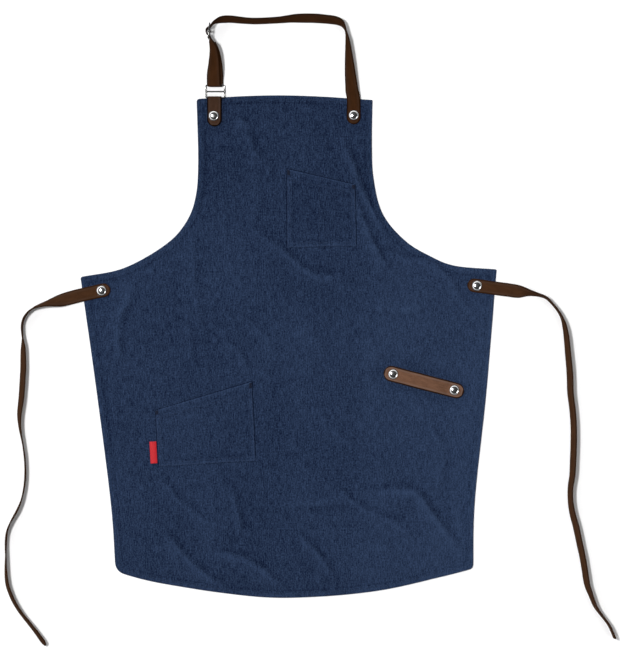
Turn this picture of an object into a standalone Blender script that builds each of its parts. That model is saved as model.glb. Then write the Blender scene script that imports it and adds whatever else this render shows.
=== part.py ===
"""A denim bib apron with leather straps, laid flat.

Metres, +Z up. The apron lies on the plane z = 0 with its face up and its neck end towards +Y. Outlines and
routes are in millimetres on a cutting plan, because cloth and leather are cut in them. They are turned into
metres where a shape is made, about an origin in the middle of the footprint of the panel and the neck loop.
"""
import math

import bmesh
import bpy
import numpy as np

MM = 0.001
ORIGIN = (0.2, -1.53, 0.0)     # the object's origin on the cutting plan
GAP = 0.3                      # air left between touching pieces

# Cloth
PANEL_THICKNESS = 1.6          # denim with its turned hem
POCKET_THICKNESS = 1.2
POCKET_RISE = 5.6              # how far a pocket's mouth stands open
LABEL_WIDTH = 10.4
LABEL_LENGTH = 34.0
LABEL_THICKNESS = 2.6
LABEL_WALL = 1.0

# Leather
NECK_WIDTH = 21.2
NECK_THICKNESS = 1.8
TIE_WIDTH = 21.0
TIE_THICKNESS = 2.2
LOOP_WIDTH = 24.3
LOOP_THICKNESS = 2.2
LOOP_RISE = 6.6                # bow of the utility loop at its middle
LOOP_END = 15.0                # leather beyond each rivet of the utility loop
TAB_WIDTH = 22.4
TAB_THICKNESS = 1.5
TAB_FOOT = 16.4                # tab below its rivet
TAIL_THICKNESS = 1.0           # the strap's far end is skived to this

# Rivets
CAP_RADIUS = 8.0
CAP_HEIGHT = 3.2
POST_RADIUS = 2.0
BASE_RADIUS = 6.0
BASE_THICKNESS = 0.8
HOLE_CLEARANCE = 0.3
HOLE_LOW = 0.5                 # the cutters of the leather's holes run between these heights
HOLE_HIGH = 8.0

# Three-bar loops: the ring under the neck strap and the slider on it
WIRE_RADIUS = 1.0
MIDDLE_BAR_RADIUS = 0.8
RING_HALF_WIDTH = 14.6
RING_HALF_HEIGHT = 9.85
SLIDER_HALF_WIDTH = 13.4
SLIDER_HALF_HEIGHT = 11.5
FRAME_CORNER = 2.4
BAR_OVERLAP = 0.2              # the middle bar runs this far into the side wires
BAR_CLEARANCE = 0.2

PANEL_TOP = PANEL_THICKNESS
SEAT = PANEL_TOP + GAP         # underside of whatever lies on the panel

RING_CENTRE = (-114.2, 332.7, 4.6)
SLIDER_CENTRE = (-123.4, 426.0, 15.0)
SLIDER_TURN = math.radians(-6.0)
NECK_HINGE_Y = RING_CENTRE[1] - RING_HALF_HEIGHT
TAB_CENTRE_X = -115.6

# Where the rivets sit, and the direction in which each leather piece leaves its rivet
RIVETS = {
    "tab": (-116.5, 295.0),
    "strap": (101.6, 296.0),
    "left_tie": (-291.6, 22.4),
    "right_tie": (293.9, 30.0),
    "loop_inner": (163.2, -107.8),
    "loop_outer": (258.5, -132.6),
}

# The panel's edge, corner to corner. Each run is a smooth curve through its few points.
BIB_TOP = [(-143.4, 321.4), (-74.0, 325.6), (-7.0, 327.0), (62.0, 324.5), (131.0, 319.8)]
RIGHT_ARMHOLE = [(131.0, 319.8), (129.9, 251.0), (132.6, 196.6), (147.0, 142.0), (181.7, 100.5),
                 (220.7, 76.4), (259.7, 61.3), (324.6, 55.6)]
RIGHT_SIDE = [(324.6, 55.6), (318.7, -14.0), (307.8, -142.0), (290.5, -304.2), (287.8, -411.0)]
HEM = [(287.8, -411.0), (236.3, -424.3), (140.6, -445.4), (33.0, -455.5), (-60.1, -454.0),
       (-195.8, -434.5), (-269.6, -416.5)]
LEFT_SIDE = [(-269.6, -416.5), (-277.7, -304.2), (-302.8, -109.2), (-324.6, 43.7)]
LEFT_ARMHOLE = [(-324.6, 43.7), (-256.9, 57.7), (-192.7, 93.6), (-160.5, 127.9), (-144.9, 168.5),
                (-140.9, 225.0), (-143.4, 321.4)]
CORNER_RADII = [1.5, 2.0, 7.0, 16.0, 4.0, 5.0]

# Pockets: corner points lower left, lower right, upper right, upper left
BIB_POCKET = [(-3.1, 88.9), (106.4, 92.0), (104.2, 188.1), (-3.1, 213.4)]
HIP_POCKET = [(-202.8, -252.0), (-50.7, -243.4), (-56.5, -118.1), (-208.6, -163.8)]
LABEL_CENTRE = (-210.6, -229.8)
LABEL_TURN = math.radians(3.0)

# Routes of the straps: x, y and roll. Roll 0 lies flat with the face up, 90 stands on its edge.
# The ties start at their inner ends, beyond their rivets.
LEFT_TIE_ROUTE = [
    (-278, 25, 0), (-292, 22.4, 0), (-321, 16, 0), (-341, 11, 2), (-356, 7, 25), (-374, 3, 65),
    (-391, -2, 80), (-400, -6, 88), (-408, -14, 90), (-413, -22, 90), (-415, -34, 90), (-414, -50, 86),
    (-413, -64, 76), (-413, -80, 70), (-413, -101, 69), (-416, -146, 69), (-419, -170, 73),
    (-418, -192, 79), (-413, -220, 85), (-410, -245, 87), (-410, -273, 88), (-415, -301, 86),
    (-423, -321, 83), (-431, -335, 86), (-438, -351, 88), (-440, -370, 89), (-440, -392, 84),
    (-440, -413, 78), (-438, -434, 73), (-432, -452, 72), (-424, -468, 72), (-413, -484, 73),
    (-396, -505, 71), (-378, -530, 68)]
RIGHT_TIE_ROUTE = [
    (279, 32, 0), (294, 30, 0), (323, 26, 0), (346, 23, 2), (358, 21, 15), (367, 20, 48), (375, 19, 66),
    (388, 16, 80), (401, 12, 84), (408, 5, 88), (419, -8, 88), (426, -20, 86), (430, -33, 78),
    (433, -51, 73), (435, -73, 71), (438, -105, 69), (439, -136, 69), (442, -161, 70), (444, -187, 70),
    (444, -218, 70), (443, -245, 70), (442, -265, 72), (439, -284, 74), (439, -304, 74), (442, -324, 71),
    (448, -346, 69), (453, -370, 69), (458, -393, 70), (462, -417, 70), (465, -436, 71), (471, -452, 76),
    (478, -470, 80), (489, -485, 84), (500, -500, 85), (508, -519, 86)]
# The neck strap from the bib's right corner, over the top and down to the slider.
NECK_ROUTE = [
    (100.8, 326.0, 8), (99.0, 333, 18), (98.0, 342, 27), (96.0, 363, 40), (94.0, 388, 58), (92.0, 412, 75),
    (89.5, 426, 88), (87.0, 433, 82), (82.5, 439, 68), (74, 443, 59), (59, 445, 56), (39, 446.5, 54),
    (15, 446.5, 57), (1, 445.5, 64), (-18, 443.5, 69), (-50, 442, 70), (-70, 443, 69), (-90, 445, 65),
    (-103, 444.5, 66), (-112, 441.5, 78), (-117.5, 438.6, 86)]
# The bow of the strap through the slider, in the slider's own plane: across, along.
BOW_ROUTE = [(2.6, 9.6), (2.3, 8.4), (0.0, 6.3), (-3.4, 4.2), (-4.6, 1.8), (-4.8, 0.0), (-4.6, -1.8),
             (-3.4, -4.2), (0.0, -6.3), (2.1, -8.4), (2.4, -9.6)]
# The doubled leg from the slider down to the ring, as the middle between its two layers.
LEG_ROUTE = [(-119.6, 411.0, 74), (-117.0, 404.5, 64), (-114.6, 391.5, 49), (-114.0, 375, 31),
             (-114.4, 362, 14), (-114.5, 352, 3)]
LEG_SPREAD = 2.0               # the two layers lie this far to each side of the leg's middle
STRAP_END_GAP = 0.6            # the riveted end of the parted strap stops this far short of the neck hinge


# ---------------------------------------------------------------------------- scene and material helpers

def clear_scene():
    """Remove every object that a fresh scene starts with."""
    for item in list(bpy.data.objects):
        bpy.data.objects.remove(item, do_unlink=True)


def make_material(name, colour, roughness, metallic=0.0):
    """A Principled material of one colour."""
    material = bpy.data.materials.new(name)
    material.use_nodes = True
    shader = material.node_tree.nodes["Principled BSDF"]
    shader.inputs["Base Color"].default_value = (*colour, 1.0)
    shader.inputs["Roughness"].default_value = roughness
    shader.inputs["Metallic"].default_value = metallic
    return material


def to_metres(place_mm):
    """A place on the cutting plan, in metres from the object's origin."""
    return tuple(float(value - zero) * MM for value, zero in zip(place_mm, ORIGIN))


def add_object(name, points_mm, faces, material):
    """A mesh object from points on the cutting plan, with its faces turned outwards."""
    mesh = bpy.data.meshes.new(name)
    mesh.from_pydata([to_metres(point) for point in points_mm], [], faces)
    builder = bmesh.new()
    builder.from_mesh(mesh)
    bmesh.ops.recalc_face_normals(builder, faces=builder.faces)
    builder.to_mesh(mesh)
    builder.free()
    mesh.materials.append(material)
    item = bpy.data.objects.new(name, mesh)
    bpy.context.collection.objects.link(item)
    return item


def hang_on(item, pivot):
    """Parent an object to an empty on its joint's axis, without moving it."""
    item.parent = pivot
    item.matrix_parent_inverse = pivot.matrix_world.inverted()


def add_pivot(name, place_mm):
    """An empty on a joint's axis."""
    pivot = bpy.data.objects.new(name, None)
    pivot.location = to_metres(place_mm)
    bpy.context.collection.objects.link(pivot)
    bpy.context.view_layer.update()
    return pivot


def cut(item, cutter):
    """Subtract a hidden cutter."""
    cutter.hide_render = True
    cutter.display_type = "WIRE"
    modifier = item.modifiers.new("cut " + cutter.name, "BOOLEAN")
    modifier.operation = "DIFFERENCE"
    modifier.solver = "EXACT"
    modifier.object = cutter


# ---------------------------------------------------------------------------- curves

def smooth_curve(points, spacing):
    """Points at an even spacing along the Catmull-Rom curve through the given points."""
    points = np.asarray(points, dtype=float)
    ends = np.vstack([2 * points[0] - points[1], points, 2 * points[-1] - points[-2]])
    steps = np.linspace(0.0, 1.0, 24, endpoint=False)[:, None]
    runs = []
    for before, start, stop, after in zip(ends, ends[1:], ends[2:], ends[3:]):
        runs.append(0.5 * (2 * start + (stop - before) * steps
                           + (2 * before - 5 * start + 4 * stop - after) * steps ** 2
                           + (3 * start - before - 3 * stop + after) * steps ** 3))
    dense = np.vstack(runs + [points[-1:]])
    lengths = np.concatenate([[0.0], np.cumsum(np.linalg.norm(np.diff(dense[:, :2], axis=0), axis=1))])
    count = max(3, int(round(lengths[-1] / spacing)) + 1)
    wanted = np.linspace(0.0, lengths[-1], count)
    return np.column_stack([np.interp(wanted, lengths, dense[:, column]) for column in range(dense.shape[1])])


def round_corner(before, corner, after, radius, steps=5):
    """Points of a quadratic curve that rounds a corner between two neighbours."""
    before = np.asarray(before, dtype=float)
    corner = np.asarray(corner, dtype=float)
    after = np.asarray(after, dtype=float)
    start = corner + (before - corner) / np.linalg.norm(before - corner) * radius
    stop = corner + (after - corner) / np.linalg.norm(after - corner) * radius
    amounts = np.linspace(0.0, 1.0, steps)[:, None]
    return (1 - amounts) ** 2 * start + 2 * amounts * (1 - amounts) * corner + amounts ** 2 * stop


def panel_outline(spacing=22.0):
    """The panel's edge as one closed loop: smooth runs joined by rounded corners."""
    runs = [BIB_TOP, RIGHT_ARMHOLE, RIGHT_SIDE, HEM, LEFT_SIDE, LEFT_ARMHOLE]
    smooth = [smooth_curve(run, spacing) for run in runs]
    loop = []
    for index, run in enumerate(smooth):
        following = smooth[(index + 1) % len(smooth)]
        loop.extend(run[1:-1])
        loop.extend(round_corner(run[-2], run[-1], following[1], CORNER_RADII[index]))
    return np.array(loop)


# ---------------------------------------------------------------------------- solids

def add_slab(name, outline, low, high, material):
    """A flat piece: an outline with straight walls."""
    count = len(outline)
    points = [(x, y, low) for x, y in outline] + [(x, y, high) for x, y in outline]
    faces = [tuple(range(count)), tuple(range(count, 2 * count))]
    for index in range(count):
        after = (index + 1) % count
        faces.append((index, after, count + after, count + index))
    return add_object(name, points, faces, material)


def add_turned(name, profile, centre, sides, material):
    """A round piece about a vertical axis, from a profile of radius and height that starts and ends on it."""
    angles = np.arange(sides) * 2 * math.pi / sides
    points = [(centre[0], centre[1], profile[0][1]), (centre[0], centre[1], profile[-1][1])]
    for radius, height in profile[1:-1]:
        points.extend((centre[0] + radius * math.cos(angle), centre[1] + radius * math.sin(angle), height)
                      for angle in angles)
    faces = []
    rows = len(profile) - 2
    for side in range(sides):
        after = (side + 1) % sides
        faces.append((0, 2 + side, 2 + after))
        faces.append((1, 2 + (rows - 1) * sides + after, 2 + (rows - 1) * sides + side))
        for row in range(rows - 1):
            low = 2 + row * sides
            faces.append((low + side, low + after, low + sides + after, low + sides + side))
    return add_object(name, points, faces, material)


def strap_frame(route, raised_side, lift, width, thickness):
    """Centres and width directions of a strap that rolls as it goes.

    The width points along the level direction at right angles to the route, turned up by the roll. The lower
    edge rests at the height lift.
    """
    route = np.asarray(route, dtype=float)
    along = np.gradient(route[:, :2], axis=0)
    along /= np.linalg.norm(along, axis=1)[:, None]
    level = np.column_stack([-along[:, 1], along[:, 0]]) * raised_side
    roll = np.radians(route[:, 2])
    widths = np.column_stack([level * np.cos(roll)[:, None], np.sin(roll)])
    heights = lift + 0.5 * width * np.abs(np.sin(roll)) + 0.5 * thickness * np.abs(np.cos(roll))
    return np.column_stack([route[:, :2], heights]), widths


def end_widths(centres, width, round_start, round_end):
    """The strap's width at each point, narrowed in a half circle at a rounded end."""
    steps = np.linalg.norm(np.diff(centres, axis=0), axis=1)
    lengths = np.concatenate([[0.0], np.cumsum(steps)])
    half = 0.5 * width
    shape = np.full(len(centres), width)
    for wanted, distance in ((round_start, lengths), (round_end, lengths[-1] - lengths)):
        if wanted:
            inside = np.clip(half - distance, 0.0, half * 0.97)
            shape = np.minimum(shape, 2 * np.sqrt(half ** 2 - inside ** 2))
    return shape


def add_end_points(route, length):
    """Extra points near both ends of a route, so that a rounded end has a smooth outline."""
    steps = np.linalg.norm(np.diff(route[:, :3], axis=0), axis=1)
    lengths = np.concatenate([[0.0], np.cumsum(steps)])
    near = length * (1 - np.cos(np.linspace(0.0, 0.5 * math.pi, 6)))
    wanted = np.unique(np.concatenate([near, lengths, lengths[-1] - near]))
    keep = np.concatenate([[True], np.diff(wanted) > 0.05])
    wanted = wanted[keep]
    return np.column_stack([np.interp(wanted, lengths, route[:, column]) for column in range(route.shape[1])])


def add_strap(name, centres, widths, width, thickness, material, round_start=False, round_end=False):
    """A rectangular section carried along its centres, its width along the given directions."""
    joined = np.column_stack([centres, widths])
    if round_start or round_end:
        joined = add_end_points(joined, 0.5 * width)
    centres = joined[:, :3]
    across = joined[:, 3:]
    across /= np.linalg.norm(across, axis=1)[:, None]
    along = np.gradient(centres, axis=0)
    along /= np.linalg.norm(along, axis=1)[:, None]
    normal = np.cross(along, across)
    normal /= np.linalg.norm(normal, axis=1)[:, None]
    half = 0.5 * end_widths(centres, width, round_start, round_end)[:, None]
    rise = 0.5 * thickness
    sides = [centres - across * half - normal * rise, centres + across * half - normal * rise,
             centres + across * half + normal * rise, centres - across * half + normal * rise]
    points = np.stack(sides, axis=1).reshape(-1, 3)
    faces = [(0, 1, 2, 3)]
    for row in range(len(centres) - 1):
        for side in range(4):
            after = (side + 1) % 4
            faces.append((4 * row + side, 4 * row + after, 4 * row + 4 + after, 4 * row + 4 + side))
    last = 4 * (len(centres) - 1)
    faces.append((last + 3, last + 2, last + 1, last))
    return add_object(name, points, faces, material)


def add_three_bar_loop(name, centre, right, up, half_width, half_height, material):
    """A wire frame with rounded corners, and a middle bar joined into it."""
    centre = np.asarray(centre, dtype=float)
    right = np.asarray(right, dtype=float)
    up = np.asarray(up, dtype=float)
    quarter = []
    for angle in np.linspace(0.0, 0.5 * math.pi, 6):
        quarter.append((half_width - FRAME_CORNER + FRAME_CORNER * math.cos(angle),
                        half_height - FRAME_CORNER + FRAME_CORNER * math.sin(angle)))
    half = quarter + [(-x, y) for x, y in reversed(quarter)]
    path = np.array(half + [(-x, -y) for x, y in half])
    after = np.roll(path, -1, axis=0) - np.roll(path, 1, axis=0)
    after /= np.linalg.norm(after, axis=1)[:, None]
    outward = np.column_stack([after[:, 1], -after[:, 0]])
    depth = np.cross(right, up)
    sides = 8
    points = []
    for place, out in zip(path, outward):
        for side in range(sides):
            angle = 2 * math.pi * side / sides
            flat = place + out * WIRE_RADIUS * math.cos(angle)
            points.append(centre + right * flat[0] + up * flat[1] + depth * WIRE_RADIUS * math.sin(angle))
    count = len(path)
    faces = []
    for row in range(count):
        following = (row + 1) % count
        for side in range(sides):
            beside = (side + 1) % sides
            faces.append((row * sides + side, row * sides + beside,
                          following * sides + beside, following * sides + side))
    frame = add_object(name, points, faces, material)
    reach = half_width - BAR_OVERLAP
    rim = []
    for end in (-reach, reach):
        for side in range(sides):
            angle = 2 * math.pi * side / sides
            rim.append(centre + right * end + up * MIDDLE_BAR_RADIUS * math.cos(angle)
                       + depth * MIDDLE_BAR_RADIUS * math.sin(angle))
    bar_faces = [tuple(range(sides)), tuple(range(sides, 2 * sides))]
    for side in range(sides):
        beside = (side + 1) % sides
        bar_faces.append((side, beside, sides + beside, sides + side))
    bar = add_object(name + "_bar_tool", rim, bar_faces, material)
    bar.hide_render = True
    bar.display_type = "WIRE"
    modifier = frame.modifiers.new("join the middle bar", "BOOLEAN")
    modifier.operation = "UNION"
    modifier.solver = "EXACT"
    modifier.object = bar
    return frame


# ---------------------------------------------------------------------------- the apron's pieces

def rivet_hole(item, name):
    """A hole for a rivet's post through a piece of leather."""
    radius = POST_RADIUS + HOLE_CLEARANCE
    profile = [(0, HOLE_LOW), (radius, HOLE_LOW), (radius, HOLE_HIGH), (0, HOLE_HIGH)]
    cutter = add_turned(name + "_hole_in_" + item.name, profile, RIVETS[name], 16, item.data.materials[0])
    cut(item, cutter)


def make_panel(denim):
    """The denim panel, with a hole and a shallow seat for the base of each rivet."""
    panel = add_slab("body_panel", panel_outline(), 0.0, PANEL_TOP, denim)
    hole = POST_RADIUS + HOLE_CLEARANCE
    seat = BASE_RADIUS + HOLE_CLEARANCE
    step = BASE_THICKNESS + GAP
    profile = [(0, -1.0), (seat, -1.0), (seat, step), (hole, step), (hole, PANEL_TOP + 1.0),
               (0, PANEL_TOP + 1.0)]
    for name, place in RIVETS.items():
        cut(panel, add_turned("panel_seat_" + name, profile, place, 24, denim))
    return panel


def make_pocket(name, corners, denim):
    """A patch sewn down at its sides and foot, whose open mouth stands up from the panel."""
    low_left, low_right, top_right, top_left = (np.array(corner) for corner in corners)
    columns = 10
    rows = 8
    across = np.linspace(0.0, 1.0, columns + 1)
    upward = np.linspace(0.0, 1.0, rows + 1)
    lower = []
    upper = []
    for v in upward:
        for u in across:
            place = (1 - v) * ((1 - u) * low_left + u * low_right) + v * ((1 - u) * top_left + u * top_right)
            rise = POCKET_RISE * math.sin(math.pi * u) ** 0.6 * math.sin(0.5 * math.pi * v) ** 0.8
            lower.append((*place, SEAT + rise))
            upper.append((*place, SEAT + rise + POCKET_THICKNESS))
    width = columns + 1
    total = width * (rows + 1)
    faces = []
    for row in range(rows):
        for column in range(columns):
            a = row * width + column
            faces.append((a, a + 1, a + width + 1, a + width))
            faces.append((total + a + width, total + a + width + 1, total + a + 1, total + a))
    rim = list(range(width))
    rim += [row * width + columns for row in range(1, rows + 1)]
    rim += [rows * width + column for column in range(columns - 1, -1, -1)]
    rim += [row * width for row in range(rows - 1, 0, -1)]
    for first, second in zip(rim, rim[1:] + rim[:1]):
        faces.append((first, second, total + second, total + first))
    return add_object(name, lower + upper, faces, denim)


def make_label(cloth):
    """A short loop of ribbon: folded at its left, open where the pocket's seam holds it."""
    half = 0.5 * LABEL_THICKNESS
    slit = half - LABEL_WALL
    outer = []
    inner = []
    for angle in np.linspace(0.5 * math.pi, 1.5 * math.pi, 9):
        outer.append((half * math.cos(angle), half * math.sin(angle)))
        inner.append((slit * math.cos(angle), slit * math.sin(angle)))
    reach = LABEL_WIDTH - half
    profile = [(reach, half)] + outer + [(reach, -half), (reach, -slit)] + inner[::-1] + [(reach, slit)]
    count = len(profile)
    cosine = math.cos(LABEL_TURN)
    sine = math.sin(LABEL_TURN)
    points = []
    for y in (-0.5 * LABEL_LENGTH, 0.5 * LABEL_LENGTH):
        for x, z in profile:
            shifted = x - 0.5 * LABEL_WIDTH + half
            points.append((LABEL_CENTRE[0] + shifted * cosine - y * sine,
                           LABEL_CENTRE[1] + shifted * sine + y * cosine, SEAT + half + z))
    faces = [tuple(range(count)), tuple(range(count, 2 * count))]
    for index in range(count):
        after = (index + 1) % count
        faces.append((index, after, count + after, count + index))
    return add_object("label_tab", points, faces, cloth)


def fold_about(bar_y, bar_z, radius, toward=1.0, steps=9):
    """A half turn about a level bar along X, from below it to above it, bulging along toward."""
    angles = np.linspace(-0.5 * math.pi, 0.5 * math.pi, steps)
    return [(bar_y + toward * radius * math.cos(angle), bar_z + radius * math.sin(angle)) for angle in angles]


def make_ring_tab(leather):
    """The tab: up the bib, round the ring's lower bar and back over itself, both ends under one rivet."""
    foot = RIVETS["tab"][1] - TAB_FOOT
    radius = WIRE_RADIUS + BAR_CLEARANCE + 0.5 * TAB_THICKNESS
    bar_z = RING_CENTRE[2]
    low = bar_z - radius
    high = low + TAB_THICKNESS + GAP
    lower = [(foot, low), (foot + 10, low), (NECK_HINGE_Y - 9, low), (NECK_HINGE_Y - 3, low)]
    upper = [(NECK_HINGE_Y - 3, bar_z + radius - 0.3), (NECK_HINGE_Y - 6, high + 0.9),
             (NECK_HINGE_Y - 10, high + 0.1), (NECK_HINGE_Y - 14, high), (foot + 10, high), (foot, high)]
    run = lower + fold_about(NECK_HINGE_Y, bar_z, radius) + upper
    centres = np.array([(TAB_CENTRE_X, y, z) for y, z in run])
    widths = np.tile((1.0, 0.0, 0.0), (len(run), 1))
    tab = add_strap("ring_tab", centres, widths, TAB_WIDTH, TAB_THICKNESS, leather, True, True)
    rivet_hole(tab, "tab")
    return tab


def slider_point(across, along):
    """A place given in the slider's plane, as x and y."""
    cosine = math.cos(SLIDER_TURN)
    sine = math.sin(SLIDER_TURN)
    return (SLIDER_CENTRE[0] + across * cosine - along * sine,
            SLIDER_CENTRE[1] + across * sine + along * cosine)


def neck_strap_run():
    """Centres and width directions of the neck strap, from the bib to the slider, the ring and back up.

    The strap rolls on its outer edge over the top, stands on edge in the slider, lies flat at the ring,
    turns round the ring's upper bar and ends just under the slider.
    """
    route = smooth_curve(NECK_ROUTE, 6.0)
    top, top_widths = strap_frame(route, -1.0, 0.4, NECK_WIDTH, NECK_THICKNESS)
    near_bib = np.clip((360.0 - top[:, 1]) / 34.0, 0.0, 1.0) * (top[:, 0] > 0)
    top[:, 2] = top[:, 2] + near_bib * 2.0
    near_slider = np.clip((-100.0 - top[:, 0]) / 15.0, 0.0, 1.0)
    top[:, 2] = top[:, 2] * (1 - near_slider) + SLIDER_CENTRE[2] * near_slider

    bow = smooth_curve([(*slider_point(across, along), 90.0) for across, along in BOW_ROUTE], 1.1)
    bow_centres = np.column_stack([bow[:, :2], np.full(len(bow), SLIDER_CENTRE[2])])
    bow_widths = np.tile((0.0, 0.0, 1.0), (len(bow), 1))

    leg = smooth_curve(LEG_ROUTE, 5.0)
    roll = np.radians(leg[:, 2])
    heights = 5.0 + 0.5 * NECK_WIDTH * np.sin(roll)
    blend = np.clip((leg[:, 1] - 385.0) / 26.0, 0.0, 1.0)
    heights = heights * (1 - blend) + (SLIDER_CENTRE[2] - 0.3) * blend
    middle = np.column_stack([leg[:, :2], heights])
    across = np.column_stack([np.cos(roll), np.zeros(len(leg)), np.sin(roll)])
    face = np.column_stack([-np.sin(roll), np.zeros(len(leg)), np.cos(roll)])
    turn = WIRE_RADIUS + BAR_CLEARANCE + 0.5 * NECK_THICKNESS
    near_ring = np.clip((364.0 - leg[:, 1]) / 12.0, 0.0, 1.0)
    offset = (0.5 * NECK_THICKNESS + 0.3) * (1 - near_ring) + turn * near_ring
    spread = LEG_SPREAD * np.clip((400.0 - leg[:, 1]) / 40.0, 0.0, 1.0)
    shift = np.column_stack([spread, np.zeros(len(leg)), np.zeros(len(leg))])
    front = middle + face * offset[:, None] - shift
    back = middle - face * offset[:, None] + shift

    bar_y = RING_CENTRE[1] + RING_HALF_HEIGHT
    bar_z = RING_CENTRE[2]
    wrap = np.array([(0.0, y, z) for y, z in fold_about(bar_y, bar_z, turn, -1.0)])[::-1]
    wrap[:, 0] = np.linspace(front[-1, 0], back[-1, 0], len(wrap))
    wrap_widths = np.tile((1.0, 0.0, 0.0), (len(wrap), 1))

    centres = np.vstack([top, bow_centres, front, wrap, back[::-1][:-1]])
    widths = np.vstack([top_widths, bow_widths, across, wrap_widths, across[::-1][:-1]])
    return centres, widths


def make_neck_strap(leather):
    """The long stretch of the neck strap, which lifts with the neck loop."""
    centres, widths = neck_strap_run()
    return add_strap("neck_strap", centres, widths, NECK_WIDTH, NECK_THICKNESS, leather)


def make_neck_strap_end(leather):
    """The riveted stretch on the bib. It stops where the strap bends at the bib's edge."""
    x, y = RIVETS["strap"]
    flat = SEAT + 0.5 * NECK_THICKNESS
    stop = NECK_HINGE_Y - STRAP_END_GAP
    run = np.array([(x - 0.2, y - 14.0, flat), (x, y, flat), (x, y + 10.0, flat), (x, stop - 6.0, flat + 0.9),
                    (x - 0.1, stop, flat + 1.8)])
    rolls = np.radians([0.0, 0.0, 0.0, 3.0, 6.0])
    widths = np.column_stack([np.cos(rolls), np.zeros(5), np.sin(rolls)])
    strap = add_strap("neck_strap_end", run, widths, NECK_WIDTH, NECK_THICKNESS, leather, True, False)
    rivet_hole(strap, "strap")
    return strap


def make_strap_tail(leather):
    """The strap's far end, turned round the slider's middle bar. It moves with the slider."""
    radius = MIDDLE_BAR_RADIUS + BAR_CLEARANCE + 0.5 * TAIL_THICKNESS
    angles = np.radians(np.linspace(-35.0, 215.0, 13))
    run = [slider_point(radius * math.cos(angle), radius * math.sin(angle)) for angle in angles]
    centres = np.array([(x, y, SLIDER_CENTRE[2]) for x, y in run])
    widths = np.tile((0.0, 0.0, 1.0), (len(run), 1))
    return add_strap("strap_tail", centres, widths, NECK_WIDTH, TAIL_THICKNESS, leather)


def make_tie(name, route, leather):
    """A waist tie: flat over the panel's edge, then standing on its edge on the ground."""
    smooth = smooth_curve(route, 10.0)
    centres, widths = strap_frame(smooth, 1.0, 0.3, TIE_WIDTH, TIE_THICKNESS)
    distance = np.linalg.norm(centres[:, :2] - np.array(RIVETS[name]), axis=1)
    over_panel = np.clip((78.0 - distance) / 30.0, 0.0, 1.0)
    over_panel = over_panel * over_panel * (3 - 2 * over_panel)
    flat = SEAT + 0.5 * TIE_THICKNESS
    centres[:, 2] = np.maximum(centres[:, 2], flat * over_panel)
    tie = add_strap(name, centres, widths, TIE_WIDTH, TIE_THICKNESS, leather, True, name == "left_tie")
    rivet_hole(tie, name)
    return tie


def make_utility_loop(leather):
    """A leather loop between two rivets, bowed up so that a towel or a tool goes under it."""
    inner = np.array(RIVETS["loop_inner"])
    outer = np.array(RIVETS["loop_outer"])
    direction = (outer - inner) / np.linalg.norm(outer - inner)
    start = inner - direction * LOOP_END
    span = np.linalg.norm(outer - inner)
    held = LOOP_END + CAP_RADIUS + 1.5
    distances = np.concatenate([[0.0, LOOP_END], np.linspace(held, 2 * LOOP_END + span - held, 19),
                                [LOOP_END + span, 2 * LOOP_END + span]])
    free = np.clip((distances - held) / (2 * LOOP_END + span - 2 * held), 0.0, 1.0)
    rise = LOOP_RISE * np.clip(1.25 * np.sin(math.pi * free) ** 0.9, 0.0, 1.0)
    places = start + distances[:, None] * direction
    centres = np.column_stack([places, SEAT + 0.5 * LOOP_THICKNESS + rise])
    widths = np.tile((-direction[1], direction[0], 0.0), (len(distances), 1))
    loop = add_strap("utility_loop", centres, widths, LOOP_WIDTH, LOOP_THICKNESS, leather, True, True)
    rivet_hole(loop, "loop_inner")
    rivet_hole(loop, "loop_outer")
    return loop


def make_rivet(name, top_of_leather, chrome, brass):
    """A domed cap on the leather, and the post with its base disc in the cloth under it."""
    seat = top_of_leather + GAP
    profile = [(0, seat), (CAP_RADIUS, seat)]
    for angle in np.linspace(math.radians(14), math.radians(74), 4):
        profile.append((CAP_RADIUS * math.cos(angle), seat + CAP_HEIGHT * math.sin(angle)))
    profile.append((0, seat + CAP_HEIGHT))
    cap = add_turned("rivet_cap_" + name, profile, RIVETS[name], 20, chrome)
    profile = [(0, 0), (BASE_RADIUS, 0), (BASE_RADIUS, BASE_THICKNESS), (POST_RADIUS, BASE_THICKNESS),
               (POST_RADIUS, top_of_leather), (0, top_of_leather)]
    post = add_turned("rivet_post_" + name, profile, RIVETS[name], 14, brass)
    for item in (cap, post):
        item.data.shade_smooth()
        item.data.set_sharp_from_angle(angle=math.radians(40))
    return cap, post


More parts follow.
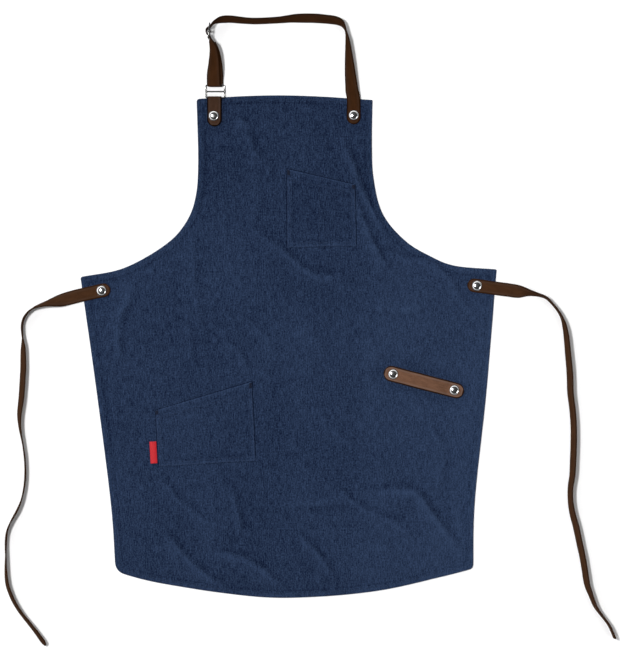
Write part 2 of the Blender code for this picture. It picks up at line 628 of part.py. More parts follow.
def build():
    """Make every piece and hang the moving ones on their joints' axes."""
    clear_scene()
    denim = make_material("denim", (0.030, 0.052, 0.125), 0.9)
    red = make_material("red ribbon", (0.70, 0.02, 0.03), 0.6)
    dark_leather = make_material("dark brown leather", (0.035, 0.018, 0.010), 0.5)
    tie_leather = make_material("brown leather", (0.075, 0.035, 0.018), 0.5)
    loop_leather = make_material("light brown leather", (0.150, 0.075, 0.045), 0.55)
    chrome = make_material("chrome", (0.85, 0.85, 0.85), 0.12, 1.0)
    brass = make_material("plated post", (0.55, 0.54, 0.52), 0.35, 1.0)

    make_panel(denim)
    make_pocket("bib_pocket", BIB_POCKET, denim)
    make_pocket("hip_pocket", HIP_POCKET, denim)
    make_label(red)
    make_ring_tab(tie_leather)
    make_neck_strap_end(dark_leather)
    make_utility_loop(loop_leather)
    neck_strap = make_neck_strap(dark_leather)
    strap_tail = make_strap_tail(dark_leather)
    left_tie = make_tie("left_tie", LEFT_TIE_ROUTE, tie_leather)
    right_tie = make_tie("right_tie", RIGHT_TIE_ROUTE, tie_leather)
    ring = add_three_bar_loop("ring", RING_CENTRE, (1, 0, 0), (0, 1, 0), RING_HALF_WIDTH,
                              RING_HALF_HEIGHT, chrome)
    along = (-math.sin(SLIDER_TURN), math.cos(SLIDER_TURN), 0.0)
    slider = add_three_bar_loop("slider", SLIDER_CENTRE, (0, 0, 1), along, SLIDER_HALF_WIDTH,
                                SLIDER_HALF_HEIGHT, chrome)

    tab_top = RING_CENTRE[2] - WIRE_RADIUS - BAR_CLEARANCE + TAB_THICKNESS + GAP
    strap_top = SEAT + NECK_THICKNESS
    tie_top = SEAT + TIE_THICKNESS
    tops = {"tab": tab_top, "strap": strap_top, "left_tie": tie_top, "right_tie": tie_top,
            "loop_inner": tie_top, "loop_outer": tie_top}
    caps = {}
    for name, top in tops.items():
        caps[name], _ = make_rivet(name, top, chrome, brass)

    neck_pivot = add_pivot("neck_loop_axis", (RING_CENTRE[0], NECK_HINGE_Y, RING_CENTRE[2]))
    for item in (ring, neck_strap):
        hang_on(item, neck_pivot)
    slider_pivot = add_pivot("slider_axis", SLIDER_CENTRE)
    for item in (slider, strap_tail):
        hang_on(item, slider_pivot)
    for name, tie in (("left_tie", left_tie), ("right_tie", right_tie)):
        pivot = add_pivot(name + "_axis", (*RIVETS[name], 0.0))
        hang_on(tie, pivot)
        hang_on(caps[name], pivot)


build()
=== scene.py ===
"""The finished cloth, leather, thread and metal of a denim bib apron, laid flat.

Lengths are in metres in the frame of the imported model: +Z up, +Y towards the neck, the ground at z = 0.
Cloth is worked out as heights over a flat pattern, leather as a section carried along a route, thread as
rows of short stitches that follow the cloth, and metal as wire loops and turned caps.
"""
import math

import bpy
import numpy as np
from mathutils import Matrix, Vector
from mathutils.geometry import delaunay_2d_cdt


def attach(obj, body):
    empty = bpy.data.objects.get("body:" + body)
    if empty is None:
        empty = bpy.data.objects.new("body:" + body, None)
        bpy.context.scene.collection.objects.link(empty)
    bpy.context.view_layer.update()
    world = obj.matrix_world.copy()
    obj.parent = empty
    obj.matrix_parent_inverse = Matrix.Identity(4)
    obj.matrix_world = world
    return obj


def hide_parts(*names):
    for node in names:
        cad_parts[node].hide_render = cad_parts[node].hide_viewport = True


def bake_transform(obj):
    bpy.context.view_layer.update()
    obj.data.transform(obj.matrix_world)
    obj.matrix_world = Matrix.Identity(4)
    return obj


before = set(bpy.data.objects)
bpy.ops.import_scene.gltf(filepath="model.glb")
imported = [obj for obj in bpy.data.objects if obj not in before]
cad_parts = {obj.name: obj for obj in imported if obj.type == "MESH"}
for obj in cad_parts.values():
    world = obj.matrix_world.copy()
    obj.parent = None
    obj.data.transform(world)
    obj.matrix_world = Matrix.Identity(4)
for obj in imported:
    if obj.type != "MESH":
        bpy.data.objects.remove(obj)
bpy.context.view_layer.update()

bl_info = {
    "name": "Denim Apron",
    "version": (1, 0, 0),
    "blender": (4, 5, 0),
    "location": "3D View > Sidebar > Apron",
    "description": "Makes the cloth, leather, thread and metal of a denim bib apron",
    "category": "Object",
}

# ------------------------------------------------------------ the pattern, shared with the solids

SEAT = 0.0019                  # underside of the leather that lies on the cloth
NECK_HINGE = (-0.1144, 0.32438, 0.0046)
RING_CENTRE = (-0.1144, 0.33423, 0.0046)
SLIDER_CENTRE = (-0.1236, 0.42753, 0.0150)
SLIDER_TURN = math.radians(-6.0)
RING_HALF = (0.0146, 0.00985)  # half the ring's width and height, to the middle of its wire
SLIDER_HALF = (0.0134, 0.0115)
BAR_RADIUS = 0.0010            # wire of the ring and the slider
BAR_CLEARANCE = 0.0002         # air between a bar and the leather that is turned round it
SLIDER_BAR = 0.0008            # half the thickness of the slider's middle bar under the tail
TAIL_HALF = 0.0005             # half the thickness of the strap's skived end
TAB_CENTRE_X = -0.1158
TAB_GAP = 0.0003               # air between the tab's two layers
LEG_SPREAD = 0.002             # how far the strap's two layers move apart sideways below the slider
RIVETS = {
    "tab": (-0.1167, 0.2965),
    "strap": (0.1014, 0.2975),
    "left_tie": (-0.2918, 0.0239),
    "right_tie": (0.2937, 0.0315),
    "loop_inner": (0.1630, -0.1063),
    "loop_outer": (0.2583, -0.1311),
}

# The panel's edge, corner to corner. Each run is a smooth curve through its few points.
BIB_TOP = [(-0.1436, 0.3229), (-0.0742, 0.3271), (-0.0072, 0.3285), (0.0618, 0.3260), (0.1308, 0.3213)]
RIGHT_ARMHOLE = [(0.1308, 0.3213), (0.1297, 0.2525), (0.1324, 0.1981), (0.1468, 0.1435), (0.1815, 0.1020),
                 (0.2205, 0.0779), (0.2595, 0.0628), (0.3244, 0.0571)]
RIGHT_SIDE = [(0.3244, 0.0571), (0.3185, -0.0125), (0.3076, -0.1405), (0.2903, -0.3027), (0.2876, -0.4095)]
HEM = [(0.2876, -0.4095), (0.2361, -0.4228), (0.1404, -0.4439), (0.0328, -0.4540), (-0.0603, -0.4525),
       (-0.1960, -0.4330), (-0.2698, -0.4150)]
LEFT_SIDE = [(-0.2698, -0.4150), (-0.2779, -0.3027), (-0.3030, -0.1077), (-0.3248, 0.0452)]
LEFT_ARMHOLE = [(-0.3248, 0.0452), (-0.2571, 0.0592), (-0.1929, 0.0951), (-0.1607, 0.1294),
                (-0.1451, 0.1700), (-0.1411, 0.2265), (-0.1436, 0.3229)]
CORNER_RADII = [0.0015, 0.0020, 0.0070, 0.0160, 0.0040, 0.0050]

# Pocket corners: lower left, lower right, upper right, upper left
BIB_POCKET = [(-0.0033, 0.0904), (0.1062, 0.0935), (0.1040, 0.1896), (-0.0033, 0.2149)]
HIP_POCKET = [(-0.2030, -0.2505), (-0.0509, -0.2419), (-0.0567, -0.1166), (-0.2088, -0.1623)]
LABEL_CENTRE = (-0.2108, -0.2283)
LABEL_TURN = math.radians(3.0)

# Routes of the straps: x, y and roll in degrees. Roll 0 lies flat, 90 stands on its edge.
LEFT_TIE_ROUTE = [
    (-0.2782, 0.0265, 0), (-0.2922, 0.0239, 0), (-0.3212, 0.0175, 0), (-0.3412, 0.0125, 2),
    (-0.3562, 0.0085, 25), (-0.3742, 0.0045, 65), (-0.3912, -0.0005, 80), (-0.4002, -0.0045, 88),
    (-0.4082, -0.0125, 90), (-0.4132, -0.0205, 90), (-0.4152, -0.0325, 90), (-0.4142, -0.0485, 86),
    (-0.4132, -0.0625, 70), (-0.4132, -0.0785, 64), (-0.4132, -0.0995, 63), (-0.4162, -0.1445, 64),
    (-0.4192, -0.1685, 69), (-0.4182, -0.1905, 79), (-0.4132, -0.2185, 85), (-0.4102, -0.2435, 87),
    (-0.4102, -0.2715, 88), (-0.4152, -0.2995, 86), (-0.4232, -0.3195, 83), (-0.4312, -0.3335, 86),
    (-0.4382, -0.3495, 88), (-0.4402, -0.3685, 89), (-0.4402, -0.3905, 84), (-0.4402, -0.4115, 78),
    (-0.4382, -0.4325, 73), (-0.4322, -0.4505, 72), (-0.4242, -0.4665, 72), (-0.4132, -0.4825, 73),
    (-0.3962, -0.5035, 71), (-0.3782, -0.5285, 68)]
RIGHT_TIE_ROUTE = [
    (0.2788, 0.0335, 0), (0.2938, 0.0315, 0), (0.3228, 0.0275, 0), (0.3458, 0.0245, 2),
    (0.3578, 0.0225, 15), (0.3668, 0.0215, 48), (0.3748, 0.0205, 66), (0.3878, 0.0175, 80),
    (0.4008, 0.0135, 84), (0.4078, 0.0065, 88), (0.4188, -0.0065, 88), (0.4258, -0.0185, 86),
    (0.4298, -0.0315, 78), (0.4328, -0.0495, 73), (0.4348, -0.0715, 71), (0.4378, -0.1035, 69),
    (0.4388, -0.1345, 69), (0.4418, -0.1595, 70), (0.4438, -0.1855, 70), (0.4438, -0.2165, 70),
    (0.4428, -0.2435, 70), (0.4418, -0.2635, 72), (0.4388, -0.2825, 74), (0.4388, -0.3025, 74),
    (0.4418, -0.3225, 71), (0.4478, -0.3445, 69), (0.4528, -0.3685, 69), (0.4578, -0.3915, 70),
    (0.4618, -0.4155, 70), (0.4648, -0.4345, 71), (0.4708, -0.4505, 76), (0.4778, -0.4685, 80),
    (0.4888, -0.4835, 84), (0.4998, -0.4985, 85), (0.5078, -0.5175, 86)]
NECK_ROUTE = [
    (0.1006, 0.3275, 8), (0.0988, 0.3345, 18), (0.0978, 0.3435, 27), (0.0958, 0.3645, 40),
    (0.0938, 0.3895, 58), (0.0918, 0.4135, 75), (0.0893, 0.4275, 88), (0.0868, 0.4345, 82),
    (0.0823, 0.4405, 68), (0.0738, 0.4445, 59), (0.0588, 0.4465, 56), (0.0388, 0.4480, 54),
    (0.0148, 0.4480, 57), (0.0008, 0.4470, 64), (-0.0182, 0.4450, 69), (-0.0502, 0.4435, 70),
    (-0.0702, 0.4445, 69), (-0.0902, 0.4465, 65), (-0.1032, 0.4460, 66), (-0.1122, 0.4430, 78),
    (-0.1177, 0.4401, 86)]
# The strap's bow through the slider, in the slider's own plane: across it, along it
BOW_ROUTE = [(0.0026, 0.0096), (0.0023, 0.0084), (0.0, 0.0063), (-0.0034, 0.0042), (-0.0046, 0.0018),
             (-0.0048, 0.0), (-0.0046, -0.0018), (-0.0034, -0.0042), (0.0, -0.0063), (0.0021, -0.0084),
             (0.0024, -0.0096)]
LEG_ROUTE = [(-0.1198, 0.4125, 74), (-0.1172, 0.4060, 64), (-0.1148, 0.3930, 49), (-0.1142, 0.3765, 31),
             (-0.1146, 0.3635, 14), (-0.1147, 0.3535, 3)]

# Folds of the cloth: the line of the steep flank, its width and its height before the gain. The crest lies on
# the right hand of somebody who walks along the points, and the steep flank on the left.
FOLD_GAIN = 1.25
FOLDS = [
    ([(-0.0950, 0.3010), (-0.0670, 0.2850), (-0.0530, 0.2450), (-0.0290, 0.2200)], 0.0070, 0.0026),
    ([(0.0850, 0.2600), (0.1030, 0.2190), (0.1190, 0.1750), (0.1500, 0.1180)], 0.0055, 0.0030),
    ([(0.0990, 0.1830), (0.1180, 0.1340), (0.1420, 0.0800), (0.1580, 0.0540)], 0.0055, 0.0026),
    ([(-0.0450, 0.1130), (-0.0080, 0.0880), (0.0380, 0.0530), (0.0980, 0.0480)], 0.0085, 0.0032),
    ([(0.2120, -0.0060), (0.1700, -0.0110), (0.1220, -0.0040)], 0.0075, 0.0018),
    ([(0.1650, 0.0800), (0.2200, 0.0700), (0.2600, 0.0330), (0.2800, -0.0150)], 0.0050, 0.0016),
    ([(-0.2360, 0.0300), (-0.2610, -0.0250), (-0.2640, -0.0900)], 0.0065, 0.0024),
    ([(-0.1470, 0.1180), (-0.1440, 0.0240), (-0.1310, -0.0400)], 0.0070, 0.0015),
    ([(-0.1540, -0.0240), (-0.1490, -0.0880)], 0.0060, 0.0014),
    ([(-0.0990, -0.0480), (-0.0720, -0.0780), (-0.0640, -0.1010)], 0.0050, 0.0013),
    ([(-0.0620, -0.0200), (-0.0330, -0.0500), (-0.0200, -0.0830)], 0.0060, 0.0011),
    ([(-0.0880, -0.2800), (-0.0800, -0.3150), (-0.0700, -0.3560)], 0.0060, 0.0026),
    ([(-0.2050, -0.2640), (-0.1550, -0.3150), (-0.1120, -0.3430)], 0.0070, 0.0016),
    ([(-0.1900, -0.3560), (-0.1400, -0.4080), (-0.0980, -0.4360)], 0.0085, 0.0042),
    ([(-0.1100, -0.3800), (-0.0560, -0.3980), (-0.0100, -0.4350)], 0.0085, 0.0046),
    ([(0.0180, -0.3560), (0.0520, -0.3920), (0.0680, -0.4250)], 0.0060, 0.0026),
    ([(0.1060, -0.3090), (-0.0300, -0.3160)], 0.0045, 0.0012),
    ([(0.0720, -0.2760), (0.1060, -0.3080), (0.1620, -0.3350), (0.2000, -0.3620)], 0.0065, 0.0018),
    ([(0.1250, -0.2900), (0.1930, -0.2860), (0.2250, -0.3220), (0.2700, -0.3840)], 0.0080, 0.0042),
    ([(0.0400, -0.1560), (0.0800, -0.2000), (0.1200, -0.2290)], 0.0080, 0.0012),
    ([(0.2230, -0.1850), (0.2440, -0.2320), (0.2330, -0.2880)], 0.0060, 0.0014),
    ([(0.0330, -0.0200), (0.0560, -0.0800)], 0.0080, 0.0012),
    ([(0.1250, -0.0450), (0.1420, -0.0960)], 0.0080, 0.0012),
    ([(0.0120, -0.1750), (0.0100, -0.2300)], 0.0070, 0.0012),
]

# Mesh rows of the panel inward from its edge: close on the rounded edge and on both sides of the stitching
PANEL_INSETS = [0.00012, 0.0003, 0.0006, 0.0010, 0.0020, 0.0036, 0.0050, 0.0057, 0.0062, 0.0067, 0.0076,
                0.0090, 0.0100, 0.0110, 0.0130, 0.0155]
# The same for a pocket, with the edge itself, and the rows beside its mouth's stitching, down from the mouth
POCKET_INSETS = [0.0, 0.0001, 0.00025, 0.0005, 0.0008, 0.0014, 0.0020, 0.0026, 0.0036, 0.0048, 0.0060, 0.0068,
                 0.0076, 0.0085, 0.0093, 0.0102]
POCKET_PITCH = 0.0026
MOUTH_INSETS = [0.0146, 0.0155, 0.0164, 0.0175, 0.0185]
SEAM_INSETS = (0.0020, 0.0068)  # the two rows of stitches round a pocket
MOUTH_STITCH = 0.0155           # the row of stitches below a pocket's mouth

STITCH_SIDES = 6
STITCH_RISE = 0.00016
TACK_COUNT = 16
TACK_STEP = 0.00046
TACK_LENGTH = 0.0046
TACK_THREAD = 0.00052

LABEL_LENGTH = 0.0340
LABEL_THICKNESS = 0.00042

CORNER_POINTS = 4               # points on each rounded corner of a strap's section
FACE_COLUMNS = (0.97, 0.92, 0.86, 0.78, 0.60, 0.30, 0.0)
BURNISHED_AND_SHADOWED = (0.0017, 0.0026)    # where the dark edge of leather, burnish with painted contact shadow, stops, inward from its rim
RUBBED = (0.0032, 0.0054)       # where the paler band beside it stops
CREASE_ANGLE = 50               # degrees: edges of leather and wire that are sharper stay sharp

TWILL = (0.00105, 0.00190)      # the ribs' step across the cloth and along it
YARN = 0.00052
SQUARED_NOISE = 0.27            # mean of a noise times itself

# The room: brightness from straight down, 0, to straight up, 1, and its brighter side
ROOM_TONES = ((0.36, 0.14), (0.46, 1.15), (0.66, 1.15), (0.84, 0.06))
WINDOW_SIDE = (-0.80, 0.60, 0.0)
WINDOW_SPAN = (-0.40, 0.60)
WINDOW_TONES = (0.42, 1.45)
BACKDROP = (1.15, 1.15, 1.15, 1.0)
FLOOR_HALF = 6.0
FLOOR_HEIGHT = -0.0003
KEY_PLACE = (-1.25, 0.46, 4.8)
KEY_SIZE = 0.60
FILL_PLACE = (2.4, -1.2, 2.6)
FILL_SIZE = 1.6

BLOCK = 4096                    # points that are measured at one time


def metres(name, text, value, low=0.0):
    """A length that a user can change."""
    return bpy.props.FloatProperty(name=name, description=text, default=value, min=low, precision=5,
                                   subtype="DISTANCE", unit="LENGTH")


def colour(name, text, value):
    """A colour that a user can change."""
    return bpy.props.FloatVectorProperty(name=name, description=text, default=value, size=3, min=0.0, max=1.0,
                                         subtype="COLOR")


class ApronClothSettings(bpy.types.PropertyGroup):
    """Sizes and colours of the denim, its thread and its label."""

    pitch: metres("Mesh pitch", "Distance between the points of the panel's mesh", 0.0036, 0.001)
    thickness: metres("Denim thickness", "Thickness of one layer", 0.0008)
    hem_width: metres("Hem width", "Width of the turned edge", 0.0100)
    stitch_inset: metres("Stitch inset", "Distance of the hem's stitching from the edge", 0.0062)
    stitch_length: metres("Stitch length", "Length of one stitch", 0.0027)
    stitch_gap: metres("Stitch gap", "Cloth between two stitches", 0.0008)
    thread: metres("Thread", "Thickness of the sewing thread", 0.00042)
    mouth_rise: metres("Mouth rise", "How far a pocket's mouth stands open", 0.0026)
    fold_height: bpy.props.FloatProperty(name="Fold height", description="Strength of the cloth's folds",
                                         default=1.0, min=0.0, max=2.0, subtype="FACTOR")
    indigo: colour("Indigo", "Colour of the warp", (0.0022, 0.0052, 0.0180))
    faded: colour("Faded", "Colour of worn warp and of the weft between it", (0.0290, 0.0500, 0.1030))
    reverse: colour("Reverse", "Colour of the cloth's back", (0.1500, 0.1900, 0.2600))
    sewing: colour("Sewing thread", "Colour of the topstitching", (0.0180, 0.0290, 0.0640))
    tacking: colour("Tacking thread", "Colour of the bar tacks", (0.0060, 0.0100, 0.0260))
    ribbon: colour("Ribbon", "Colour of the label", (0.5200, 0.0110, 0.0190))


class ApronLeatherSettings(bpy.types.PropertyGroup):
    """Sizes and colours of the leather."""

    neck_width: metres("Neck strap width", "Width of the neck strap", 0.0212)
    neck_thickness: metres("Neck strap thickness", "Thickness of the neck strap", 0.0018)
    tie_width: metres("Tie width", "Width of the waist ties", 0.0210)
    tie_thickness: metres("Tie thickness", "Thickness of the waist ties", 0.0022)
    loop_width: metres("Utility loop width", "Width of the utility loop", 0.0243)
    loop_thickness: metres("Utility loop thickness", "Thickness of the utility loop", 0.0022)
    loop_rise: metres("Utility loop rise", "Bow of the utility loop at its middle", 0.0066)
    tab_width: metres("Tab width", "Width of the ring's tab", 0.0224)
    tab_thickness: metres("Tab thickness", "Thickness of the ring's tab", 0.0015)
    neck_colour: colour("Neck strap colour", "Colour of the neck strap", (0.0330, 0.0132, 0.0052))
    tab_colour: colour("Tab colour", "Colour of the ring's tab", (0.0400, 0.0205, 0.0130))
    tie_colour: colour("Tie colour", "Colour of the waist ties", (0.0450, 0.0200, 0.0095))
    loop_colour: colour("Loop colour", "Colour of the utility loop", (0.1180, 0.0600, 0.0370))


class ApronMetalSettings(bpy.types.PropertyGroup):
    """Sizes and finish of the rivets, the ring and the slider."""

    cap_radius: metres("Cap radius", "Radius of a rivet's cap", 0.0080)
    cap_height: metres("Cap height", "Height of a rivet's cap", 0.0032)
    post_radius: metres("Post radius", "Radius of a rivet's post", 0.0020)
    base_radius: metres("Base radius", "Radius of a rivet's base", 0.0060)
    wire_radius: metres("Wire radius", "Radius of the ring's and slider's wire", BAR_RADIUS)
    bar_radius: metres("Bar radius", "Radius of the middle bars", BAR_RADIUS)
    roughness: bpy.props.FloatProperty(name="Chrome roughness",
                                       description="Blur of the chrome's reflections", default=0.09,
                                       min=0.0, max=1.0, subtype="FACTOR")
    tint: colour("Chrome", "Colour of the caps' plating", (0.945, 0.945, 0.945))
    # Painted shade: the ring's and slider's plating is a darkened copy of the caps' chrome.
    shaded_wire_tint: colour("Wire", "Colour of the plating of the ring and the slider", (0.115, 0.113, 0.110))


class ApronStageSettings(bpy.types.PropertyGroup):
    """The camera, floor and lights."""

    camera_height: metres("Camera height", "Height of the camera above the floor", 5.0, 0.5)
    view_height: metres("View height", "Length of floor that the camera sees", 1.02492, 0.1)
    view_x: bpy.props.FloatProperty(name="View X", description="Middle of the view, across", default=0.0333,
                                    unit="LENGTH", precision=4)
    view_y: bpy.props.FloatProperty(name="View Y", description="Middle of the view, along", default=-0.0351,
                                    unit="LENGTH", precision=4)
    key_power: bpy.props.FloatProperty(name="Key power", description="Power of the softbox on the left",
                                       default=206.0, min=0.0, unit="POWER")
    fill_power: bpy.props.FloatProperty(name="Fill power", description="Power of the softbox on the right",
                                        default=18.0, min=0.0, unit="POWER")
    room: bpy.props.FloatProperty(name="Room light", description="Strength of the light from all round",
                                  default=1.0, min=0.0, max=2.0, subtype="FACTOR")


# ------------------------------------------------------------ numbers and curves

def smoothstep(low, high, value):
    """0 below low, 1 above high, and between them 3t^2 - 2t^3 of the share t that has been covered."""
    share = np.clip((value - low) / (high - low), 0.0, 1.0)
    return share * share * (3.0 - 2.0 * share)


def covered(distance, length):
    """The share of a length that a distance covers, from 0 to 1."""
    return np.clip(distance / length, 0.0, 1.0)


def rounded(distance, radius):
    """The height of a quarter circle that reaches 1 at the radius: sqrt(1 - (1 - share)^2)."""
    share = covered(distance, radius)
    return np.sqrt(np.clip(1 - (1 - share) ** 2, 0.0, 1.0))


def soft_noise(x, y, seed):
    """Smooth noise from -1 to 1: random heights at whole-number places, blended by 6t^5 - 15t^4 + 10t^3."""
    size = 64
    table = np.random.default_rng(seed).uniform(-1.0, 1.0, (size, size))
    column = np.floor(x).astype(int)
    row = np.floor(y).astype(int)
    u = x - column
    v = y - row
    u = u * u * u * (u * (u * 6.0 - 15.0) + 10.0)
    v = v * v * v * (v * (v * 6.0 - 15.0) + 10.0)
    low = table[row % size, column % size] * (1 - u) + table[row % size, (column + 1) % size] * u
    high = table[(row + 1) % size, column % size] * (1 - u) + table[(row + 1) % size, (column + 1) % size] * u
    return low * (1 - v) + high * v


def unit(vectors):
    """The vectors at length 1."""
    return vectors / np.linalg.norm(vectors, axis=-1, keepdims=True)


def lengths_along(points):
    """The distance from the first point to each point, along them."""
    steps = np.linalg.norm(np.diff(points, axis=0), axis=1)
    return np.concatenate([[0.0], np.cumsum(steps)])


def resample(values, lengths, wanted):
    """Each column of values, read at the wanted lengths along straight lines between its rows."""
    return np.column_stack([np.interp(wanted, lengths, column) for column in values.T])


def smooth_curve(points, spacing):
    """Points at an even spacing along the Catmull-Rom curve through the given points.

    Between two points the curve is the cubic whose slope at each of them is half the step between that
    point's two neighbours.
    """
    points = np.asarray(points, dtype=float)
    ends = np.vstack([2 * points[0] - points[1], points, 2 * points[-1] - points[-2]])
    t = np.linspace(0.0, 1.0, 24, endpoint=False)[None, :, None]
    before, start, stop, after = (ends[k:len(ends) - 3 + k, None, :] for k in range(4))
    runs = 0.5 * (2 * start + (stop - before) * t + (2 * before - 5 * start + 4 * stop - after) * t ** 2
                  + (3 * start - before - 3 * stop + after) * t ** 3)
    dense = np.vstack([runs.reshape(-1, points.shape[1]), points[-1:]])
    lengths = lengths_along(dense[:, :2])
    count = max(3, int(round(lengths[-1] / spacing)) + 1)
    return resample(dense, lengths, np.linspace(0.0, lengths[-1], count))


def ease(path, spacing, passes):
    """The path at an even spacing, smoothed: each pass moves a point to the mean of it and its neighbours.

    The point itself counts twice in that mean.
    """
    lengths = lengths_along(path[:, :3])
    count = int(round(lengths[-1] / spacing)) + 1
    path = resample(path, lengths, np.linspace(0.0, lengths[-1], count))
    for _ in range(passes):
        path[1:-1] = 0.25 * path[:-2] + 0.5 * path[1:-1] + 0.25 * path[2:]
    return path


def round_corner(before, corner, after, radius, steps=7):
    """Points of the quadratic curve from one side of a corner to the other, which the corner pulls on.

    With t from 0 to 1, it is (1 - t)^2 start + 2t (1 - t) corner + t^2 stop.
    """
    start = corner + unit(before - corner) * radius
    stop = corner + unit(after - corner) * radius
    t = np.linspace(0.0, 1.0, steps)[:, None]
    return (1 - t) ** 2 * start + 2 * t * (1 - t) * corner + t ** 2 * stop


def panel_outline(spacing):
    """The panel's edge as one closed loop, clockwise: smooth runs joined by rounded corners."""
    runs = [smooth_curve(run, spacing) for run in (BIB_TOP, RIGHT_ARMHOLE, RIGHT_SIDE, HEM, LEFT_SIDE,
                                                   LEFT_ARMHOLE)]
    loop = []
    earlier = CORNER_RADII[-1:] + CORNER_RADII[:-1]
    for run, following, before, radius in zip(runs, runs[1:] + runs[:1], earlier, CORNER_RADII):
        start_gap = np.linalg.norm(run - run[0], axis=1)
        end_gap = np.linalg.norm(run - run[-1], axis=1)
        loop.append(run[(end_gap > radius * 1.15 + 0.0002) & (start_gap > before * 1.15 + 0.0002)])
        loop.append(round_corner(run[-2], run[-1], following[1], radius))
    loop = np.vstack(loop)
    gaps = np.linalg.norm(loop - np.roll(loop, 1, axis=0), axis=1)
    return loop[gaps > 0.0001]


class Edge:
    """A closed outline, with the distance of any point inward from it and the place nearest to it."""

    def __init__(self, loop):
        self.loop = loop
        self.steps = np.roll(loop, -1, axis=0) - loop
        self.sizes = np.linalg.norm(self.steps, axis=1)
        self.starts = np.concatenate([[0.0], np.cumsum(self.sizes)[:-1]])

    def inward(self, points):
        """For each point, its distance to the nearest side and how far round the outline that place is."""
        distances = np.empty(len(points))
        around = np.empty(len(points))
        for first in range(0, len(points), BLOCK):
            part = points[first:first + BLOCK, None, :] - self.loop[None, :, :]
            share = np.clip((part * self.steps).sum(2) / self.sizes ** 2, 0.0, 1.0)
            gap = np.linalg.norm(part - share[..., None] * self.steps, axis=2)
            nearest = gap.argmin(axis=1)
            rows = np.arange(len(nearest))
            distances[first:first + BLOCK] = gap[rows, nearest]
            around[first:first + BLOCK] = self.starts[nearest] + share[rows, nearest] * self.sizes[nearest]
        return distances, around

    def row_inside(self, inset):
        """A closed row of points at that distance inside the outline, without loops at tight corners."""
        along = unit(np.roll(self.loop, -1, axis=0) - np.roll(self.loop, 1, axis=0))
        inner = self.loop + np.column_stack([along[:, 1], -along[:, 0]]) * inset
        return inner[self.inward(inner)[0] > inset - 0.00005]


def fold_height(points, line, width, height):
    """A fold beside a line: a bell curve across it, wide on its crest's side and narrow on the other.

    With t the distance to the left of the line and w the width, the height is the fold's height times the
    gain and exp(-(t + 0.8 w)^2 / 2s^2), where s is 2.2 w before the crest and 0.75 w after it. It fades to
    nothing at both ends.
    """
    path = smooth_curve(line, 0.006)
    steps = np.diff(path, axis=0)
    sizes = np.linalg.norm(steps, axis=1)
    starts = lengths_along(path)
    reach = 8 * width
    inside = ((points > path.min(axis=0) - reach) & (points < path.max(axis=0) + reach)).all(axis=1)
    part = points[inside][:, None, :] - path[None, :-1, :]
    free = (part * steps).sum(2) / sizes ** 2
    share = np.clip(free, 0.0, 1.0)
    gap = part - share[..., None] * steps
    nearest = np.linalg.norm(gap, axis=2).argmin(axis=1)
    rows = np.arange(len(nearest))
    side = steps[nearest, 0] * part[rows, nearest, 1] - steps[nearest, 1] * part[rows, nearest, 0]
    across = side / sizes[nearest]
    place = (starts[nearest] + free[rows, nearest] * sizes[nearest]) / starts[-1]
    fade = smoothstep(-0.12, 0.28, place) * (1 - smoothstep(0.72, 1.12, place))
    crest = across + 0.8 * width
    spread = np.where(crest < 0, 2.2, 0.75) * width
    found = np.zeros(len(points))
    found[inside] = FOLD_GAIN * height * fade * np.exp(-0.5 * (crest / spread) ** 2)
    return found


# ------------------------------------------------------------ the lie of the cloth

